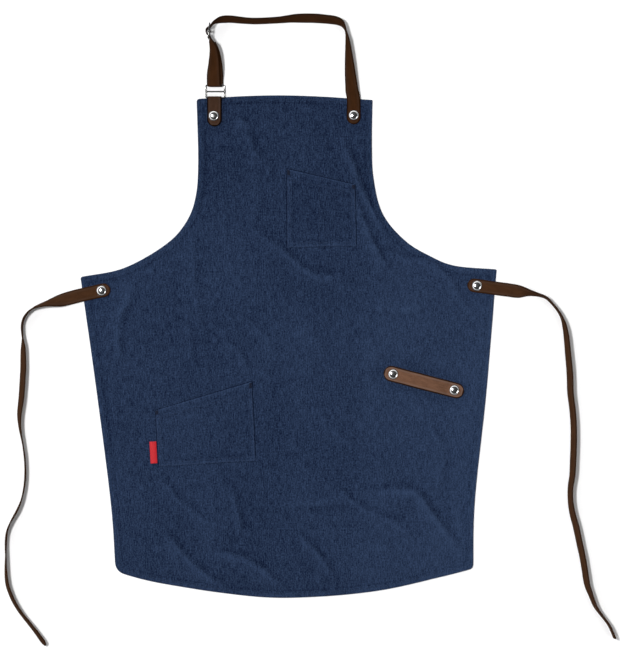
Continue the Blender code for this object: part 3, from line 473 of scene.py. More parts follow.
class Lie:
    """The height of the panel's two faces anywhere on the pattern."""

    def __init__(self, cloth):
        self.cloth = cloth
        self.edge = Edge(panel_outline(0.004))

    def calm(self, points):
        """1 on free cloth, 0 under the leather that is riveted to it."""
        calm = np.ones(len(points))
        pads = [(RIVETS["tab"], (TAB_CENTRE_X, 0.3300)), (RIVETS["strap"], (0.1014, 0.3300)),
                (RIVETS["left_tie"], (-0.3300, 0.0150)), (RIVETS["right_tie"], (0.3300, 0.0265)),
                (RIVETS["loop_inner"], RIVETS["loop_outer"])]
        for start, stop in pads:
            start = np.array(start)
            step = np.array(stop) - start
            share = np.clip(((points - start) @ step) / (step @ step), 0.0, 1.0)
            gap = np.linalg.norm(points - start - share[:, None] * step, axis=1)
            calm *= smoothstep(0.0150, 0.0420, gap)
        return calm

    def folds(self, points):
        """How far the cloth lies off the ground: long soft waves, the named folds and a fine crumple."""
        x = points[:, 0]
        y = points[:, 1]
        waves = 0.0009 * (1 + soft_noise(x / 0.036 + 9.3, y / 0.170 + 3.1, 11))
        waves += 0.0008 * (1 + soft_noise(x / 0.085 + 2.7, y / 0.110 + 5.9, 12))
        crumple = 0.00055 * (1 - np.abs(soft_noise(x / 0.019 + 0.35 * y / 0.050, y / 0.062, 13)))
        crumple += 0.00035 * (1 - np.abs(soft_noise(x / 0.011 + 4.2, y / 0.034 + 1.7, 14)))
        height = waves + crumple
        for line, width, rise in FOLDS:
            height += fold_height(points, line, width, rise)
        return height * self.calm(points) * self.cloth.fold_height

    def faces(self, points):
        """The heights of the lower and the upper face, and the distance to the edge.

        The turned hem makes the edge two layers thick and rounds it in a half circle. Its stitching pulls a
        groove, and the cloth puckers a little on both sides of it in slanting ropes.
        """
        inward, around = self.edge.inward(points)
        layer = self.cloth.thickness
        hem = self.cloth.hem_width
        lift = self.folds(points) * (0.45 + 0.55 * smoothstep(0.0, 0.030, inward))
        in_hem = 1 - smoothstep(hem, hem + 0.0030, inward)
        bulge = rounded(inward, layer)
        groove = np.exp(-0.5 * ((inward - self.cloth.stitch_inset) / 0.0008) ** 2)
        rope = np.sin(2 * np.pi * (around / 0.0110 + inward / 0.0090)) * np.exp(
            -0.5 * ((inward - self.cloth.stitch_inset) / 0.0035) ** 2)
        quiet = smoothstep(0.0, 1.0, self.calm(points))
        upper = lift + layer * (1 + in_hem) - 0.00022 * groove + 0.00010 * rope * quiet
        lower = lift + 0.6 * layer * (1 - smoothstep(hem, hem + 0.0080, inward)) * (inward > hem)
        middle = lift + layer
        upper = middle + (upper - middle) * bulge
        lower = middle + (lower - middle) * bulge
        return lower + 0.0001, upper + 0.0001, inward


# ------------------------------------------------------------ meshes

class Pieces:
    """Points, faces and what is known at each point, gathered into one mesh."""

    def __init__(self):
        self.points = []
        self.faces = []
        self.places = []
        self.marks = []
        self.slots = []
        self.count = 0

    def add(self, points, groups, places=None, marks=None, slots=()):
        """Groups are arrays of faces, as indices into these points, and slots tell each group's material."""
        for group, slot in zip(groups, slots or [0] * len(groups)):
            self.faces.extend((group + self.count).tolist())
            self.slots.extend([slot] * len(group))
        self.points.append(points)
        self.places.append(points[:, :2] if places is None else places)
        self.marks.append(np.zeros(len(points)) if marks is None else marks)
        self.count += len(points)

    def make(self, name, materials, sharp=None):
        """The mesh object, with its flat places as a UV map and its marks as the attribute "worn", which
        carries wear together with painted shade and painted highlight.
        """
        mesh = bpy.data.meshes.new(name)
        mesh.from_pydata(np.vstack(self.points).tolist(), [], self.faces)
        for material in materials:
            mesh.materials.append(material)
        mesh.polygons.foreach_set("material_index", self.slots)
        corners = np.empty(len(mesh.loops), dtype=np.int32)
        mesh.loops.foreach_get("vertex_index", corners)
        flat = mesh.uv_layers.new(name="flat")
        flat.data.foreach_set("uv", np.vstack(self.places)[corners].ravel().astype(np.float32))
        # The attribute "worn" carries real wear together with painted shade and painted highlight.
        worn = mesh.attributes.new("worn", "FLOAT", "POINT")
        worn.data.foreach_set("value", np.concatenate(self.marks).astype(np.float32))
        mesh.shade_smooth()
        if sharp is not None:
            mesh.set_sharp_from_angle(angle=math.radians(sharp))
        mesh.validate()
        piece = bpy.data.objects.new(name, mesh)
        bpy.context.scene.collection.objects.link(piece)
        return piece


def settle(piece, body, slot, *nodes):
    """The piece rides on a body and stands for solids. The slot is not used."""
    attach(piece, body)
    stand_for(piece, slot, *nodes)


def stand_for(piece, slot, *nodes):
    """The piece stands for solids, which are hidden. The slot is not used."""
    if nodes:
        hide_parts(*nodes)


def grid_faces(rows, columns, close_rows=False, close_columns=False):
    """Four-sided faces over a grid of points that are numbered row by row."""
    row = np.arange(rows if close_rows else rows - 1)[:, None]
    column = np.arange(columns if close_columns else columns - 1)[None, :]
    below = (row + 1) % rows
    beside = (column + 1) % columns
    corners = [row * columns + column, row * columns + beside,
               below * columns + beside, below * columns + column]
    return np.stack(np.broadcast_arrays(*corners), axis=-1).reshape(-1, 4)


def turn_round(profile, origin, axis, sides, pieces):
    """A profile of radius and height turned about an axis.

    A point at radius r, height h and angle a lies at origin + r cos a across + r sin a deep + h axis. The
    profile's first and last points are on the axis, where the surface closes on one point.
    """
    axis = unit(np.asarray(axis, dtype=float))
    helper = np.array([1.0, 0.0, 0.0]) if abs(axis[0]) < 0.9 else np.array([0.0, 1.0, 0.0])
    across = unit(np.cross(helper, axis))
    deep = np.cross(axis, across)
    profile = np.asarray(profile, dtype=float)
    angles = np.linspace(0.0, 2 * math.pi, sides, endpoint=False)
    ring = np.cos(angles)[:, None] * across + np.sin(angles)[:, None] * deep
    inner = profile[1:-1]
    body = (np.asarray(origin) + inner[:, None, :1] * ring[None] + inner[:, None, 1:] * axis).reshape(-1, 3)
    poles = np.asarray(origin) + profile[[0, -1], 1:] * axis
    points = np.vstack([body, poles])
    side = np.arange(sides)
    beside = (side + 1) % sides
    last = (len(inner) - 1) * sides
    low = np.column_stack([np.full(sides, len(body)), beside, side])
    high = np.column_stack([np.full(sides, len(body) + 1), last + side, last + beside])
    pieces.add(points, [grid_faces(len(inner), sides, close_columns=True), low, high])


def tube(path, depth, radius, sides, pieces, closed=True):
    """A round wire along a path that lies in the plane square to depth.

    A point at angle a lies at path + radius (cos a outward + sin a depth), where outward is depth crossed
    with the path's direction.
    """
    if closed:
        along = unit(np.roll(path, -1, axis=0) - np.roll(path, 1, axis=0))
    else:
        along = unit(np.gradient(path, axis=0))
    depth = np.asarray(depth, dtype=float)
    outward = unit(np.cross(depth, along))
    angles = np.linspace(0.0, 2 * math.pi, sides, endpoint=False)
    points = path[:, None, :] + radius * (np.cos(angles)[None, :, None] * outward[:, None, :]
                                          + np.sin(angles)[None, :, None] * depth)
    faces = [grid_faces(len(path), sides, close_rows=closed, close_columns=True)]
    if not closed:
        last = (len(path) - 1) * sides
        faces.append(np.arange(sides)[None, ::-1])
        faces.append(np.arange(last, last + sides)[None])
    pieces.add(points.reshape(-1, 3), faces)


def strap_section():
    """The outline of a strap's section: which corner each point belongs to, and its turn about it.

    Core runs from -1 to 1 across the strap and through it, and turn is the point's direction from its
    corner's centre. The columns of a face crowd towards its edges.
    """
    core = []
    turn = []
    quarter = np.linspace(0.0, 0.5 * math.pi, CORNER_POINTS)
    columns = list(FACE_COLUMNS) + [-place for place in FACE_COLUMNS[-2::-1]]
    for start, (x, y) in zip((0.0, 0.5, 1.0, 1.5), ((1, 1), (-1, 1), (-1, -1), (1, -1))):
        angles = quarter + start * math.pi
        core.extend([(x, y)] * CORNER_POINTS)
        turn.extend(zip(np.cos(angles), np.sin(angles)))
        if start in (0.0, 1.0):
            core.extend([(x * place, y) for place in columns])
            turn.extend([(0.0, float(y))] * len(columns))
    return np.array(core, dtype=float), np.array(turn, dtype=float)


def end_stations(path, length):
    """The path with more rows near both ends, closer and closer towards them."""
    lengths = lengths_along(path[:, :3])
    near = length * (1 - np.cos(np.linspace(0.0, 0.5 * math.pi, 12)))
    wanted = np.unique(np.concatenate([near, lengths, lengths[-1] - near]))
    wanted = wanted[np.concatenate([[True], np.diff(wanted) > 0.00006])]
    return resample(path, lengths, wanted)


def carry_strap(pieces, path, width, thickness, round_start=0.0, round_end=0.0, dome=0.0001, wobble=0.0):
    """A strap: a rectangle with rounded edges carried along a path of centres and width directions.

    With a the half width, b the half thickness and r the edge radius, a section point lies at
    ((a - r) core_x + r turn_x) across and ((b - r) core_y + r turn_y) through, and the faces dome by
    dome (1 - core_x^2). At a rounded end the half width follows a circle of that radius. The mark is 1 at
    the edge, -0.6 in a band just inside it and 0 further in.
    """
    path = end_stations(path, max(round_start, round_end, 0.002))
    centres = path[:, :3]
    lengths = lengths_along(centres)
    along = unit(np.gradient(centres, axis=0))
    across = unit(path[:, 3:6])
    normal = unit(np.cross(along, across))
    half = np.full(len(path), 0.5 * width)
    if wobble:
        half = half + wobble * soft_noise(lengths / 0.011, np.full(len(path), 3.7), 21)
    for radius, distance in ((round_start, lengths), (round_end, lengths[-1] - lengths)):
        if radius:
            inside = np.clip(radius - distance, 0.0, radius * 0.985)
            half = np.minimum(half, half - radius + np.sqrt(radius ** 2 - inside ** 2))
    core, turn = strap_section()
    edge = np.minimum(0.48 * thickness, 0.8 * half)[:, None]
    x = (half[:, None] - edge) * core[None, :, 0] + edge * turn[None, :, 0]
    bowed = dome * (1 - core[None, :, 0] ** 2) * np.abs(turn[None, :, 1])
    y = (0.5 * thickness - edge + bowed) * core[None, :, 1] + edge * turn[None, :, 1]
    points = centres[:, None, :] + x[..., None] * across[:, None, :] + y[..., None] * normal[:, None, :]
    places = np.stack([x, np.broadcast_to(lengths[:, None], x.shape)], axis=-1)
    inward = np.minimum(half[:, None] - np.abs(x), np.minimum(lengths, lengths[-1] - lengths)[:, None])
    # The dark rim is burnished leather and painted contact shadow; the band inside it is rubbed paler.
    worn = 1 - 1.6 * smoothstep(*BURNISHED_AND_SHADOWED, inward) + 0.6 * smoothstep(*RUBBED, inward)
    count = len(core)
    last = (len(path) - 1) * count
    faces = [grid_faces(len(path), count, close_columns=True), np.arange(count)[None, ::-1],
             np.arange(last, last + count)[None]]
    pieces.add(points.reshape(-1, 3), faces, places.reshape(-1, 2), worn.ravel())


def stitch_row(pieces, centres, directions, length, thread):
    """Short threads that come up out of the cloth and go back into it.

    Along one stitch, with a from -1 to 1, the thread lies at rise (1 - a^2) - 0.1 thread above the cloth and
    its radius is half the thread times sqrt(1 - 0.7 a^2).
    """
    stations = np.array([-1.0, -0.55, 0.0, 0.55, 1.0])
    angles = np.linspace(0.0, 2 * math.pi, STITCH_SIDES, endpoint=False)
    up = np.array([0.0, 0.0, 1.0])
    aside = unit(np.cross(up, directions))
    line = centres[:, None, :] + stations[None, :, None] * 0.5 * length * directions[:, None, :]
    line = line + (STITCH_RISE * (1 - stations ** 2) - 0.10 * thread)[None, :, None] * up
    size = 0.5 * thread * np.sqrt(1 - 0.7 * stations ** 2)
    ring = np.cos(angles)[None, :, None] * aside[:, None, :] + np.sin(angles)[None, :, None] * up
    points = line[:, :, None, :] + size[None, :, None, None] * ring[:, None, :, :]
    per_stitch = len(stations) * STITCH_SIDES
    one = grid_faces(len(stations), STITCH_SIDES, close_columns=True)
    round_once = np.arange(STITCH_SIDES)
    ends = np.array([round_once[::-1], per_stitch - STITCH_SIDES + round_once])
    starts = np.arange(len(centres))[:, None, None] * per_stitch
    along = np.broadcast_to(stations[None, :, None] * 0.5 * length, points.shape[:3])
    places = np.stack([np.broadcast_to(angles[None, None, :] * 0.0002, points.shape[:3]), along], axis=-1)
    groups = [(one[None] + starts).reshape(-1, 4), (ends[None] + starts).reshape(-1, STITCH_SIDES)]
    pieces.add(points.reshape(-1, 3), groups, places.reshape(-1, 2))


def stitches_along(row, cloth):
    """The middles and directions of the stitches along a row of points."""
    lengths = lengths_along(row)
    count = max(1, int(lengths[-1] / (cloth.stitch_length + cloth.stitch_gap)))
    middles = (np.arange(count) + 0.5) * lengths[-1] / count
    centres = resample(row, lengths, middles)
    ahead = resample(row, lengths, np.minimum(middles + 0.0006, lengths[-1]))
    behind = resample(row, lengths, np.maximum(middles - 0.0006, 0.0))
    return centres, unit(ahead - behind)


# ------------------------------------------------------------ straps

def strap_frame(route, raised_side, lift, width, thickness):
    """Centres and width directions of a strap that rolls as it goes.

    The width points along the level direction at right angles to the route, turned up by the roll. Its lower
    edge is at the height lift, so a centre is at lift + half the width x sin(roll) + half the thickness x
    cos(roll).
    """
    along = unit(np.gradient(route[:, :2], axis=0))
    level = np.column_stack([-along[:, 1], along[:, 0]]) * raised_side
    roll = np.radians(route[:, 2])
    widths = np.column_stack([level * np.cos(roll)[:, None], np.sin(roll)])
    heights = lift + 0.5 * width * np.abs(np.sin(roll)) + 0.5 * thickness * np.abs(np.cos(roll))
    return np.column_stack([route[:, :2], heights]), widths


def fold_about(bar_y, bar_z, radius, toward, steps=17):
    """A half turn about a level bar along X, from below it to above it, bulging to the side toward."""
    angles = np.linspace(-0.5 * math.pi, 0.5 * math.pi, steps)
    return np.column_stack([bar_y + toward * radius * np.cos(angles), bar_z + radius * np.sin(angles)])


def slider_point(across, along):
    """A place given in the slider's plane, as x and y."""
    cosine = math.cos(SLIDER_TURN)
    sine = math.sin(SLIDER_TURN)
    return (SLIDER_CENTRE[0] + across * cosine - along * sine,
            SLIDER_CENTRE[1] + across * sine + along * cosine)


def tie_path(route, rivet, leather):
    """A waist tie's centres and width directions: flat over the panel, then on its edge on the ground.

    It rises a little just beyond its rivet, so that it clears the cloth when it swings.
    """
    centres, widths = strap_frame(smooth_curve(route, 0.003), 1.0, 0.0002, leather.tie_width,
                                  leather.tie_thickness)
    distance = np.linalg.norm(centres[:, :2] - np.array(rivet), axis=1)
    over_panel = 1 - smoothstep(0.048, 0.078, distance)
    flat = SEAT + 0.5 * leather.tie_thickness + 0.0005 * smoothstep(0.0100, 0.0190, distance)
    centres[:, 2] = np.maximum(centres[:, 2], flat * over_panel)
    return ease(np.column_stack([centres, widths]), 0.0025, 6)


def strap_end(leather):
    """The neck strap's riveted end: flat on the bib, then a little raised and rolled at the bib's edge."""
    x, y = RIVETS["strap"]
    flat = SEAT + 0.5 * leather.neck_thickness
    stations = [(x - 0.0002, y - 0.0140, 0.0, 0.0), (x, y, 0.0, 0.0), (x, y + 0.0100, 0.0001, 0.0),
                (x, y + 0.0190, 0.0008, 3.0), (x - 0.0002, y + 0.0245, 0.0015, 6.0)]
    across, along, rise, roll = np.array(stations).T
    roll = np.radians(roll)
    return np.column_stack([across, along, flat + rise, np.cos(roll), 0 * roll, np.sin(roll)])


def strap_over_top(leather):
    """The neck strap's long run on its outer edge, raised beside the bib and level with the slider there."""
    centres, widths = strap_frame(smooth_curve(NECK_ROUTE, 0.004), -1.0, 0.0004, leather.neck_width,
                                  leather.neck_thickness)
    near_bib = covered(0.3615 - centres[:, 1], 0.034) * (centres[:, 0] > 0)
    centres[:, 2] += near_bib * 0.0020
    near_slider = covered(-0.1002 - centres[:, 0], 0.015)
    centres[:, 2] = centres[:, 2] * (1 - near_slider) + SLIDER_CENTRE[2] * near_slider
    return np.column_stack([centres, widths])


def strap_through_slider():
    """The neck strap on edge between the slider's bars."""
    bow = smooth_curve([slider_point(across, along) for across, along in BOW_ROUTE], 0.0008)
    return np.column_stack([bow, np.full(len(bow), SLIDER_CENTRE[2]), 0 * bow, np.ones(len(bow))])


def strap_round_ring(leather):
    """The neck strap's front layer from the slider to the ring, its turn there and its back layer.

    The two layers share a middle line that rolls from standing to flat. Each lies off it along the line's
    own normal, by half the strap's thickness and some air, and near the ring by the radius of the turn.
    """
    thickness = leather.neck_thickness
    leg = smooth_curve(LEG_ROUTE, 0.003)
    roll = np.radians(leg[:, 2])
    heights = 0.0050 + 0.5 * leather.neck_width * np.sin(roll)
    near_slider = covered(leg[:, 1] - 0.3865, 0.026)
    heights = heights * (1 - near_slider) + (SLIDER_CENTRE[2] - 0.0003) * near_slider
    middle = np.column_stack([leg[:, :2], heights])
    across = np.column_stack([np.cos(roll), 0 * roll, np.sin(roll)])
    face = np.column_stack([-np.sin(roll), 0 * roll, np.cos(roll)])
    turn = 0.5 * thickness + BAR_RADIUS + BAR_CLEARANCE
    near_ring = covered(0.3655 - leg[:, 1], 0.012)
    offset = (0.5 * thickness + 0.0003) * (1 - near_ring) + turn * near_ring
    spread = np.zeros((len(leg), 3))
    spread[:, 0] = LEG_SPREAD * covered(0.4015 - leg[:, 1], 0.040)
    front = np.column_stack([middle + face * offset[:, None] - spread, across])
    back = np.column_stack([middle - face * offset[:, None] + spread, across])
    fold = fold_about(RING_CENTRE[1] + RING_HALF[1], RING_CENTRE[2], turn, -1.0)[::-1]
    wrap = np.column_stack([np.linspace(front[-1, 0], back[-1, 0], len(fold)), fold,
                            np.ones(len(fold)), np.zeros((len(fold), 2))])
    return np.vstack([front, wrap, back[::-1][:-1]])


def neck_path(leather):
    """The neck strap's centres and width directions, from its rivet to the slider, the ring and back up.

    The strap rolls on its outer edge over the top, stands on edge in the slider, lies flat at the ring,
    turns round the ring's upper bar and ends just under the slider.
    """
    path = np.vstack([strap_end(leather), strap_over_top(leather), strap_through_slider(),
                      strap_round_ring(leather)])
    return ease(path, 0.0011, 4)


def tail_path():
    """The strap's far end, skived thin and turned round the slider's middle bar."""
    angles = np.radians(np.linspace(-35.0, 215.0, 49))
    radius = SLIDER_BAR + BAR_CLEARANCE + TAIL_HALF
    places = np.column_stack(slider_point(radius * np.cos(angles), radius * np.sin(angles)))
    height = np.full(len(angles), SLIDER_CENTRE[2])
    return np.column_stack([places, height, np.zeros((len(angles), 2)), np.ones(len(angles))])


def tab_path(leather):
    """The ring's tab: up the bib, round the ring's lower bar and back over itself, under one rivet."""
    foot = RIVETS["tab"][1] - 0.0164
    hinge_y = NECK_HINGE[1]
    bar_z = RING_CENTRE[2]
    radius = BAR_RADIUS + BAR_CLEARANCE + 0.5 * leather.tab_thickness
    low = bar_z - radius
    high = low + leather.tab_thickness + TAB_GAP
    lower = [(foot, low), (foot + 0.010, low), (hinge_y - 0.009, low), (hinge_y - 0.003, low)]
    upper = [(hinge_y - 0.003, bar_z + radius - 0.0003), (hinge_y - 0.006, high + 0.0009),
             (hinge_y - 0.010, high + 0.0001), (hinge_y - 0.014, high), (foot + 0.010, high), (foot, high)]
    run = np.vstack([lower, fold_about(hinge_y, bar_z, radius, 1.0), upper])
    count = len(run)
    path = np.column_stack([np.full(count, TAB_CENTRE_X), run, np.ones(count), np.zeros((count, 2))])
    return ease(path, 0.0008, 3)


def loop_path(leather):
    """The utility loop: flat under its rivets, and bowed between them by 1.25 sin^0.9, cut off at 1."""
    inner = np.array(RIVETS["loop_inner"])
    outer = np.array(RIVETS["loop_outer"])
    span = np.linalg.norm(outer - inner)
    direction = (outer - inner) / span
    end = 0.0150
    held = end + 0.0095
    distances = np.linspace(0.0, 2 * end + span, 90)
    free = np.clip((distances - held) / (2 * end + span - 2 * held), 0.0, 1.0)
    rise = leather.loop_rise * np.clip(1.25 * np.sin(math.pi * free) ** 0.9, 0.0, 1.0)
    places = inner + (distances - end)[:, None] * direction
    count = len(distances)
    path = np.column_stack([places, SEAT + 0.5 * leather.loop_thickness + rise,
                            np.full(count, -direction[1]), np.full(count, direction[0]), np.zeros(count)])
    return ease(path, 0.0012, 4)


# ------------------------------------------------------------ materials

class Value:
    """A socket of a tree of nodes that takes part in sums as a number does."""

    def __init__(self, tree, socket):
        self.tree = tree
        self.socket = socket

    def maths(self, operation, *values):
        """A Math node on these values."""
        return self.tree.node("ShaderNodeMath", {"operation": operation}, dict(enumerate(values)))

    def __add__(self, other):
        return self.maths("ADD", self, other)

    def __sub__(self, other):
        return self.maths("SUBTRACT", self, other)

    def __rsub__(self, other):
        return self.maths("SUBTRACT", other, self)

    def __mul__(self, other):
        return self.maths("MULTIPLY", self, other)

    def __truediv__(self, other):
        return self.maths("DIVIDE", self, other)

    __radd__ = __add__
    __rmul__ = __mul__

    def sine(self):
        """The sine of the value, moved to run from 0 to 1."""
        return 0.5 + 0.5 * self.maths("SINE", self)

    def between(self, low, high):
        """0 below low, 1 above high and a straight rise between them."""
        return self.tree.node("ShaderNodeMapRange", {"clamp": True}, {0: self, 1: low, 2: high})


class Tree:
    """The nodes of a material or of the world."""

    def __init__(self, tree, shader):
        self.tree = tree
        self.surface = tree.nodes[shader]

    def node(self, kind, settings=None, inputs=None, output=0):
        """A node of this type: its settings are made first, then the values or links of its sockets."""
        node = self.tree.nodes.new(kind)
        for name, value in (settings or {}).items():
            if name == "stops":
                set_stops(node.color_ramp.elements, value)
            else:
                setattr(node, name, value)
        for socket, value in (inputs or {}).items():
            if isinstance(value, Value):
                self.tree.links.new(value.socket, node.inputs[socket])
            else:
                node.inputs[socket].default_value = value
        return Value(self, node.outputs[output])

    def feed(self, socket, value):
        """What changes over the surface, led into the shader."""
        self.tree.links.new(value.socket, self.surface.inputs[socket])


def set_stops(elements, stops):
    """A ramp's stops, which are places from 0 to 1 and their greys."""
    for place, _ in stops[1:-1]:
        elements.new(place)
    for element, (place, tone) in zip(elements, stops):
        element.position = place
        element.color = (tone, tone, tone, 1.0)


class Shade(Tree):
    """A material with one Principled shader, and the nodes that feed it."""

    def __init__(self, name, **constants):
        self.material = bpy.data.materials.new(name)
        self.material.use_nodes = True
        super().__init__(self.material.node_tree, "Principled BSDF")
        for socket, value in constants.items():
            self.surface.inputs[socket.replace("_", " ")].default_value = value

    def flat(self):
        """Places on the flat pattern, from the piece's own UV map."""
        return self.node("ShaderNodeUVMap", {"uv_map": "flat"})

    def place(self):
        """Places in the frame."""
        return self.node("ShaderNodeTexCoord", None, None, "Object")

    def worn(self):
        """The piece's own mark: wear with painted shade and painted highlight on cloth, burnished edge with
        painted contact shadow on leather.
        """
        return self.node("ShaderNodeAttribute", {"attribute_name": "worn"}, None, "Fac")

    def axis(self, vector, name):
        """One of a vector's three numbers."""
        return self.node("ShaderNodeSeparateXYZ", None, {0: vector}, name)

    def stretched(self, vector, size):
        """The vector in units of these sizes."""
        return self.node("ShaderNodeVectorMath", {"operation": "DIVIDE"}, {0: vector, 1: size})

    def noise(self, vector, size, detail=2.0, roughness=0.5):
        """Noise from 0 to 1 whose grains have about these sizes."""
        return self.node("ShaderNodeTexNoise", None, {"Vector": self.stretched(vector, size), "Scale": 1.0,
                                                      "Detail": detail, "Roughness": roughness}, "Fac")

    def cells(self, vector, size):
        """The distance to the nearest of a scatter of points about this far apart."""
        return self.node("ShaderNodeTexVoronoi", None, {"Vector": self.stretched(vector, size), "Scale": 1.0},
                         "Distance")

    def blend(self, share, low, high):
        """A colour between two colours."""
        full = [(*value, 1.0) if isinstance(value, (tuple, list)) else value for value in (low, high)]
        return self.node("ShaderNodeMix", {"data_type": "RGBA"}, {0: share, 6: full[0], 7: full[1]}, 2)

    def bump(self, height, depth, strength=1.0):
        """Small relief that is too fine for the mesh."""
        self.feed("Normal", self.node("ShaderNodeBump", None, {"Height": height, "Distance": depth,
                                                               "Strength": strength}))


def denim_face(name, cloth):
    """Twill: steep ribs of uneven warp yarns, with pale weft between them, wear with painted highlight on
    high places, painted shade in low ones, and painted light towards the right.

    A rib is a sine of x and y over the twill's steps, and a yarn one of x alone. The noises are squared, so
    that the pale flecks are small and the dark cloth between them is wide.
    """
    shade = Shade(name, IOR=1.06, Sheen_Weight=0.02, Sheen_Roughness=0.5)
    flat = shade.flat()
    x = shade.axis(flat, "X")
    y = shade.axis(flat, "Y")
    drift = shade.noise(flat, (0.0060, 0.0300, 1.0)) * 0.8
    rib = (2 * math.pi * (x / TWILL[0] - y / TWILL[1]) + drift).sine()
    yarn = (2 * math.pi * (x / YARN) + drift).sine()
    slub = shade.noise(flat, (0.0016, 0.0120, 1.0), 2.0, 0.6)
    fleck = shade.noise(flat, (0.0019, 0.0026, 1.0), 2.0, 0.7)
    patch = shade.noise(flat, (0.0090, 0.0160, 1.0), 3.0, 0.55)
    cast = shade.noise(flat, (0.1100, 0.1500, 1.0), 1.0)
    place = shade.place()
    # Painted light: the cloth is made lighter towards the right wing.
    painted_light_right = shade.axis(place, "X").between(0.06, 0.26) * 0.13
    dark_bib = shade.axis(place, "Y").between(0.02, 0.22) * 0.06
    # The attribute adds wear with painted highlight on crests and painted shade in hollows and along edges;
    # the cloth is lighter towards the right as painted light, and darker towards the bib.
    fade = (0.505 + (slub * slub - SQUARED_NOISE) * 1.30 + (fleck * fleck - SQUARED_NOISE) * 1.95
            + (patch - 0.5) * 0.40 + (cast - 0.5) * 0.30 + (0.5 - rib) * 0.16 + shade.worn() * 0.36
            + (painted_light_right - dark_bib))
    shade.feed("Base Color", shade.blend(fade.between(0.0, 1.0), tuple(cloth.indigo), tuple(cloth.faded)))
    shade.feed("Roughness", 0.80 + fleck * 0.14)
    shade.bump(rib * 0.55 + yarn * 0.25 + slub * 0.5 + patch * 0.9, 0.00032, 0.8)
    return shade.material


def denim_back(name, cloth):
    """The reverse of the twill, where the pale weft covers most of the warp."""
    shade = Shade(name, Roughness=0.9, Specular_IOR_Level=0.2, Sheen_Weight=0.12)
    flat = shade.flat()
    x = shade.axis(flat, "X")
    y = shade.axis(flat, "Y")
    rib = (2 * math.pi * (x / TWILL[0] + y / TWILL[1])).sine()
    fleck = shade.noise(flat, (0.0015, 0.0012, 1.0), 2.0, 0.65)
    slub = shade.noise(flat, (0.0080, 0.0012, 1.0))
    fade = 0.35 + rib * 0.35 + (fleck - 0.5) * 0.9 + (slub - 0.5) * 0.5
    shade.feed("Base Color", shade.blend(fade.between(0.0, 1.0), tuple(cloth.faded), tuple(cloth.reverse)))
    shade.bump(rib * 0.6 + slub * 0.4, 0.0003, 0.8)
    return shade.material


def sewing_thread(name, base):
    """Three plies twisted together, with a soft shine."""
    shade = Shade(name, Roughness=0.6, Specular_IOR_Level=0.10, Sheen_Weight=0.03)
    flat = shade.flat()
    twist = (2 * math.pi * (shade.axis(flat, "Y") / 0.00075 + shade.axis(flat, "X") / 0.0012)).sine()
    uneven = shade.noise(shade.place(), (0.0050, 0.0050, 0.0050))
    dark = tuple(0.55 * part for part in base)
    light = tuple(min(1.0, 1.35 * part) for part in base)
    shade.feed("Base Color", shade.blend((twist * 0.6 + uneven * 0.4).between(0.0, 1.0), dark, light))
    shade.bump(twist, 0.00008)
    return shade.material


def grained_leather(name, base, edge, roughness):
    """Leather: cloudy pull-up colour, fine pores and creases, and dark edges of burnish and painted contact
    shadow.
    """
    shade = Shade(name, IOR=1.01)
    flat = shade.flat()
    cloud = shade.noise(flat, (0.0080, 0.0220, 1.0), 4.0, 0.6)
    streak = shade.noise(flat, (0.0016, 0.0120, 1.0), 3.0, 0.6)
    pores = shade.cells(flat, (0.0009, 0.0010, 1.0))
    crease = shade.noise(flat, (0.0030, 0.0014, 1.0), 4.0, 0.65)
    worn = shade.worn()
    tone = 0.46 + (cloud - 0.5) * 1.25 + (streak - 0.5) * 0.60 + (crease - 0.5) * 0.5 + (pores - 0.5) * 0.18
    low = tuple(0.62 * part for part in base)
    high = tuple(min(1.0, 1.42 * part) for part in base)
    body = shade.blend(tone.between(0.0, 1.0), low, high)
    pale = tuple(0.5 * part + 0.5 * sum(high) / 3 for part in high)
    rubbed = shade.blend((0.0 - worn).between(0.0, 0.6) * 0.45, body, pale)
    # The dark edge is burnish and painted contact shadow.
    dark = tuple(edge * part for part in base)
    shade.feed("Base Color", shade.blend(worn.between(0.15, 0.9) * 0.92, rubbed, dark))
    shade.feed("Roughness", roughness + (crease - 0.5) * 0.22 + (cloud - 0.5) * 0.12)
    shade.bump(pores * 0.5 + crease * 0.9 + streak * 0.3, 0.00016, 0.9)
    return shade.material


def plated_metal(name, tint, roughness, wear):
    """Plated metal with fine handling marks."""
    shade = Shade(name, Metallic=1.0)
    place = shade.place()
    marks = shade.noise(place, (0.0009, 0.0035, 0.0009), 3.0, 0.6)
    cloud = shade.noise(place, (0.0060, 0.0060, 0.0060), 2.0)
    dull = tuple(0.80 * part for part in tint)
    shade.feed("Base Color", shade.blend((cloud * 0.6 + marks * 0.4).between(0.2, 0.8), dull, tuple(tint)))
    shade.feed("Roughness", roughness + marks.between(0.45, 0.8) * wear)
    shade.bump(marks, 0.00002, 0.5)
    return shade.material


def woven_ribbon(name, ribbon):
    """Satin ribbon: fine ribs along it, with painted shade between the threads."""
    shade = Shade(name, Roughness=0.55, Specular_IOR_Level=0.2, Sheen_Weight=0.16, Sheen_Roughness=0.4)
    flat = shade.flat()
    rib = (2 * math.pi * shade.axis(flat, "Y") / 0.00060).sine()
    thread = shade.noise(flat, (0.0030, 0.0004, 1.0), 2.0)
    cloud = shade.noise(flat, (0.0050, 0.0030, 1.0), 2.0)
    tone = 0.5 * rib + (thread - 0.5) * 0.9 + (cloud - 0.5) * 0.8 + 0.2
    # The dark end of the blend is painted shade between the threads.
    dark = tuple(0.68 * part for part in ribbon)
    shade.feed("Base Color", shade.blend(tone.between(0.0, 1.0), dark, ribbon))
    shade.bump(rib * 0.6 + thread * 0.4, 0.00010)
    return shade.material


def shared_material(maker, name, *values):
    """The material of this name, made once and then shared."""
    return bpy.data.materials.get(name) or maker(name, *values)


